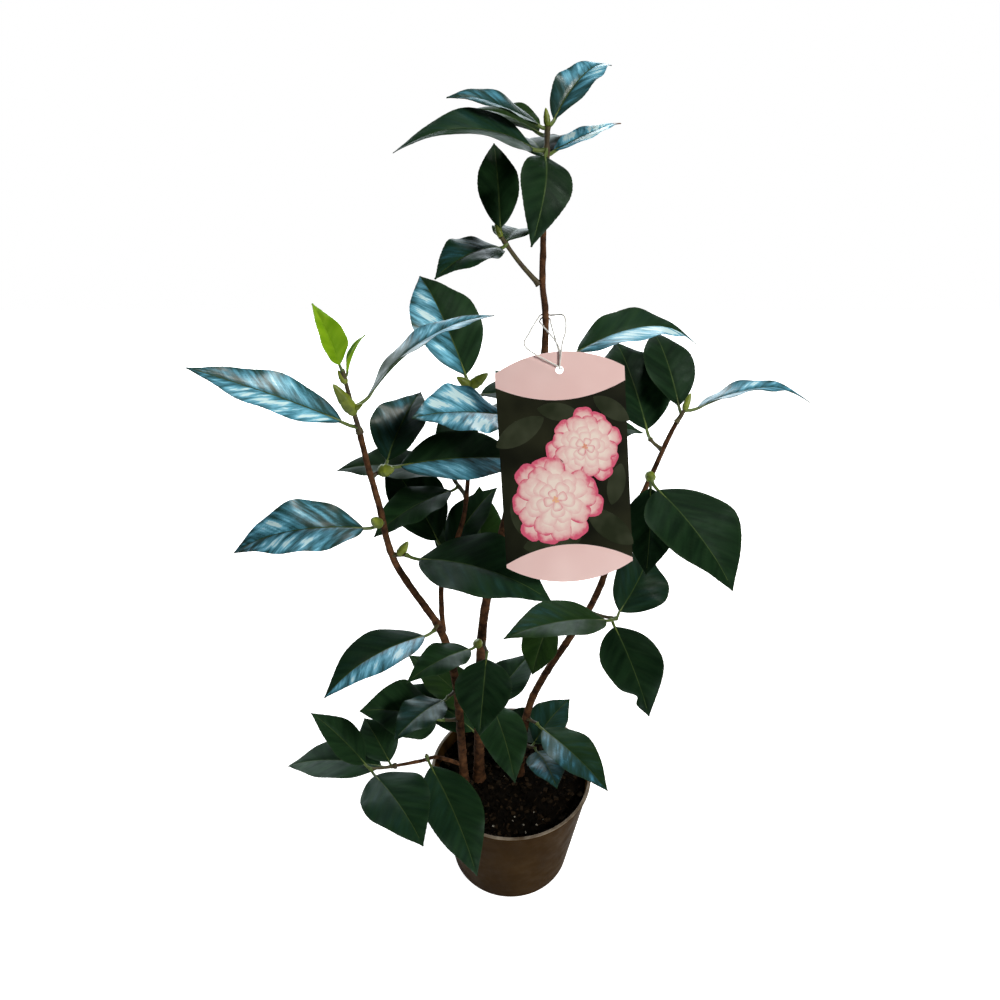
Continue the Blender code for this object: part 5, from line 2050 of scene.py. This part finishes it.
    def build_print(self, half: float) -> None:
        """Lay the print on the card: dark panel, pink ends, leaves and blossoms.

        Args:
            half: half the card's thickness.
        """
        pink = InkFinish("ink_pink", (0.80, 0.56, 0.55), (0.88, 0.66, 0.65), 20.0).build()
        inks = [
            pink,
            InkFinish("ink_dark_olive", (0.005, 0.006, 0.003), (0.020, 0.022, 0.011), 32.0).build(),
            InkFinish("ink_leaf", (0.016, 0.022, 0.010), (0.040, 0.048, 0.028), 60.0).build(),
            PetalInk("ink_petal", (0.86, 0.74, 0.68), (0.66, 0.10, 0.19)).build(),
            InkFinish("ink_heart", (0.75, 0.30, 0.22), (0.85, 0.50, 0.30)).build(),
        ]
        bundle = Bundle()
        edge = LABEL_WIDTH / 2
        top, foot = -self.head_edge[0] + 0.001, -LABEL_HEIGHT + self.foot_edge[0] - 0.001
        self.sheet(bundle, [(-edge, top), (edge, top), (edge, foot), (-edge, foot)], half * 0.5,
                   half + self.layer, 1)
        face = half + self.layer
        angles = [math.tau * i / self.arc_steps for i in range(self.arc_steps)]
        for x, y, turn, length in self.leaf_marks:
            leaf = [turned((x, y), length * 0.5 * math.cos(t),
                           length * 0.21 * math.sin(t) * abs(math.sin(t)) ** 0.5, turn) for t in angles]
            self.sheet(bundle, leaf, face, face + self.layer, 2)
        for layers, (x, y, size, spin) in enumerate(self.blossoms, 1):
            self.blossom(bundle, (x, y), size, spin, face + self.layer * layers)
        self.sheet(bundle, self.lens(False), half * 0.5, half + self.layer * 3, 0)
        dress(bundle.build("label_print", inks, sharp=30.0), "label_card")
        head = Bundle()
        self.sheet(head, self.lens(True), half * 0.5, half + self.layer * 3, 0)
        piece = head.build("label_head_print", [pink])
        self.punch(piece)
        dress(piece, "label_card")


@dataclass
class Tie:
    """The loop of white string that holds the label to the main stem, with its loose turns."""
    plant: Plant
    finishes: Finishes
    label: Label
    step: float = 0.0008
    sides: int = 8
    strand: float = 0.14
    lay: float = 0.55
    second_rise: float = 0.004
    slack: tuple = ((-0.0195, 0.0035, 0.0030), (-0.0165, 0.0125, 0.0020), (-0.0110, 0.0205, 0.0005))
    second: tuple = ((0.0022, 0.0040, 0.0024), (0.0050, 0.0130, 0.0016), (0.0040, 0.0210, 0.0006))

    def crossing(self) -> Vector:
        """Return where the string passes through the label's hole."""
        return LABEL_TOP + LABEL_UP * (HOLE_RADIUS - STRING_RADIUS - GAP - HOLE_DROP)

    def points(self) -> list[Vector]:
        """Lay the loop's points, through the hole and round the stem.

        Returns:
            The points.
        """
        crossing = self.crossing()
        stem, _, stem_radius = self.plant.paths["main_stem"].place(TIE_HEIGHT)
        loop = stem_radius + STRING_RADIUS + 3 * GAP
        points = [crossing - LABEL_OUT * STRING_STANDOFF, crossing, crossing + LABEL_OUT * STRING_STANDOFF,
                  self.label.at(0, TIE_FRONT_RISE, STRING_STANDOFF)]
        for turn in TIE_TURNS:
            angle = math.radians(turn)
            x, y = loop * math.cos(angle), loop * math.sin(angle)
            points.append(stem + Vector((x, y, TIE_SLANT * math.sin(angle))))
        return [*points, self.label.at(0, TIE_BACK_RISE, -TIE_BACK_REACH)]

    def strand_tube(self, line: Array, closed_loop: bool) -> tuple[Array, Array]:
        """Make the string along a line, with the lay of its two strands.

        Args:
            line: the line's points.
            closed_loop: whether its end joins its start.

        Returns:
            Its points and faces.
        """
        turns = np.arange(self.sides) * math.tau / self.sides
        lay = np.arange(len(line)) * self.lay
        radii = STRING_RADIUS * (0.90 + self.strand * np.abs(np.cos(turns[None, :] + lay[:, None])))
        return sweep(line, radii, self.sides, closed_loop)

    def loose_turn(self, places: tuple) -> Array:
        """Lay one loose turn from the hole to the stem.

        Args:
            places: the places on the label that it passes.

        Returns:
            Its line.
        """
        stem, _, stem_radius = self.plant.paths["main_stem"].place(TIE_HEIGHT + self.second_rise)
        inside = [self.crossing(), self.crossing() + LABEL_OUT * STRING_STANDOFF * 1.3]
        passed = [self.label.at(x, y, out) for x, y, out in places]
        behind = stem + Vector((0.0, stem_radius + STRING_RADIUS * 2, 0.0))
        beside = stem + Vector((math.copysign(stem_radius + STRING_RADIUS * 2, places[0][0]), 0.0, 0.0))
        return fine_line([*inside, *passed, beside, behind], self.step)

    def build(self) -> None:
        """Make the string."""
        knots = self.points()
        looped = [knots[-1], *knots, knots[0], knots[1]]
        line = fine_line(looped, self.step)
        start = int(np.argmin(np.linalg.norm(line - np.array(knots[0]), axis=1)))
        stop = start + int(np.argmin(np.linalg.norm(line[start + 20:] - np.array(knots[0]), axis=1))) + 20
        bundle = Bundle()
        bundle.add(*self.strand_tube(line[start:stop], True))
        for places in (self.slack, self.second):
            bundle.add(*self.strand_tube(self.loose_turn(places), False))
        dress(bundle.build("string_tie", [self.finishes.string], sharp=70.0), "string", "tie")


@dataclass(frozen=True)
class SoftLight:
    """One soft rectangular light, unseen by the camera."""
    name: str
    place: tuple
    size: tuple
    power: float
    tint: Colour
    target: tuple = (0.0, 0.0, 0.36)

    def hang(self) -> None:
        """Hang the light, facing its target."""
        data = bpy.data.lights.new(self.name, "AREA")
        data.shape = "RECTANGLE"
        data.size, data.size_y = self.size
        data.energy = self.power
        data.color = self.tint
        lamp = bpy.data.objects.new(self.name, data)
        lamp.location = self.place
        aim = Vector(self.target) - Vector(self.place)
        lamp.rotation_euler = aim.to_track_quat("-Z", "Y").to_euler()
        lamp.visible_camera = False
        bpy.context.scene.collection.objects.link(lamp)


LIGHTS = (
    SoftLight("back_softbox", (-0.75, 1.25, 0.53), (2.3, 0.78), 26.0, (0.85, 0.94, 1.0), (-0.75, 0.0, 0.53)),
    SoftLight("key", (1.3, -1.3, 1.7), (0.5, 0.5), 38.0, (1.0, 0.96, 0.90)),
    SoftLight("left_softbox", (-1.6, 0.2, 0.62), (0.9, 0.8), 2.5, (0.90, 0.96, 1.0)),
    SoftLight("overhead", (0.3, 0.5, 2.6), (0.5, 0.5), 22.0, (1.0, 0.93, 0.84)),
)


@dataclass
class Studio:
    """Pale floor, soft lights, white surroundings and the camera."""
    floor_size: tuple = (8.0, 6.0)
    floor_back: float = 1.24
    camera_place: tuple = (-0.0096, -0.5055, 0.760)
    camera_pitch: float = 35.4
    lens: float = 32.4
    sensor: float = 36.0
    floor_glow: float = 0.93
    air_seen: float = 1.0
    air_glow: float = 0.05

    def floor(self) -> None:
        """Lay the floor, which ends behind the plant where the white air takes over."""
        deselect()
        width, depth = self.floor_size
        bpy.ops.mesh.primitive_plane_add(size=1.0, location=(0, self.floor_back - depth / 2, 0))
        floor = start_piece("studio_floor")
        floor.scale = (width, depth, 1.0)
        settle(floor)
        skin = Surface("floor_pale")
        seen = skin.add("LightPath", {}).outputs["Is Camera Ray"]
        skin.give(Base_Color=(0.92, 0.92, 0.92), Roughness=0.9, Specular_IOR_Level=0.1,
                  Emission_Color=(1.0, 1.0, 1.0), Emission_Strength=skin.over(seen, 0.0, self.floor_glow))
        floor.data.materials.append(skin.material)

    def air(self) -> None:
        """Make the surroundings: white to the camera, dim as a light."""
        world = bpy.data.worlds.new("studio_air")
        world.use_nodes = True
        nodes = Nodes(world.node_tree)
        ground = nodes.tree.nodes["Background"]
        nodes.feed(ground.inputs["Color"], (1.0, 1.0, 1.0))
        seen = nodes.add("LightPath", {}).outputs["Is Camera Ray"]
        nodes.feed(ground.inputs["Strength"], nodes.over(seen, self.air_glow, self.air_seen))
        bpy.context.scene.world = world

    def camera(self) -> None:
        """Set up the camera."""
        data = bpy.data.cameras.new("camera")
        data.lens = self.lens
        data.sensor_width = self.sensor
        camera = bpy.data.objects.new("camera", data)
        camera.location = self.camera_place
        camera.rotation_euler = (math.radians(90.0 - self.camera_pitch), 0.0, 0.0)
        bpy.context.scene.collection.objects.link(camera)
        bpy.context.scene.camera = camera

    def build(self) -> None:
        """Set up floor, lights, air and camera."""
        self.floor()
        for light in LIGHTS:
            light.hang()
        self.air()
        self.camera()
        bpy.context.scene.view_settings.view_transform = "Standard"


def main() -> None:
    """Build every piece in order and report it."""
    logging.basicConfig(level=logging.INFO, format="%(message)s")
    plant = Plant.grow()
    finishes = Finishes()
    NurseryPot(finishes).build()
    Compost(finishes).build()
    Woodwork(plant, finishes).build()
    Foliage(plant, finishes).build()
    label = Label(finishes)
    label.build()
    Tie(plant, finishes, label).build()
    Studio().build()


if __name__ == "__main__":
    main()
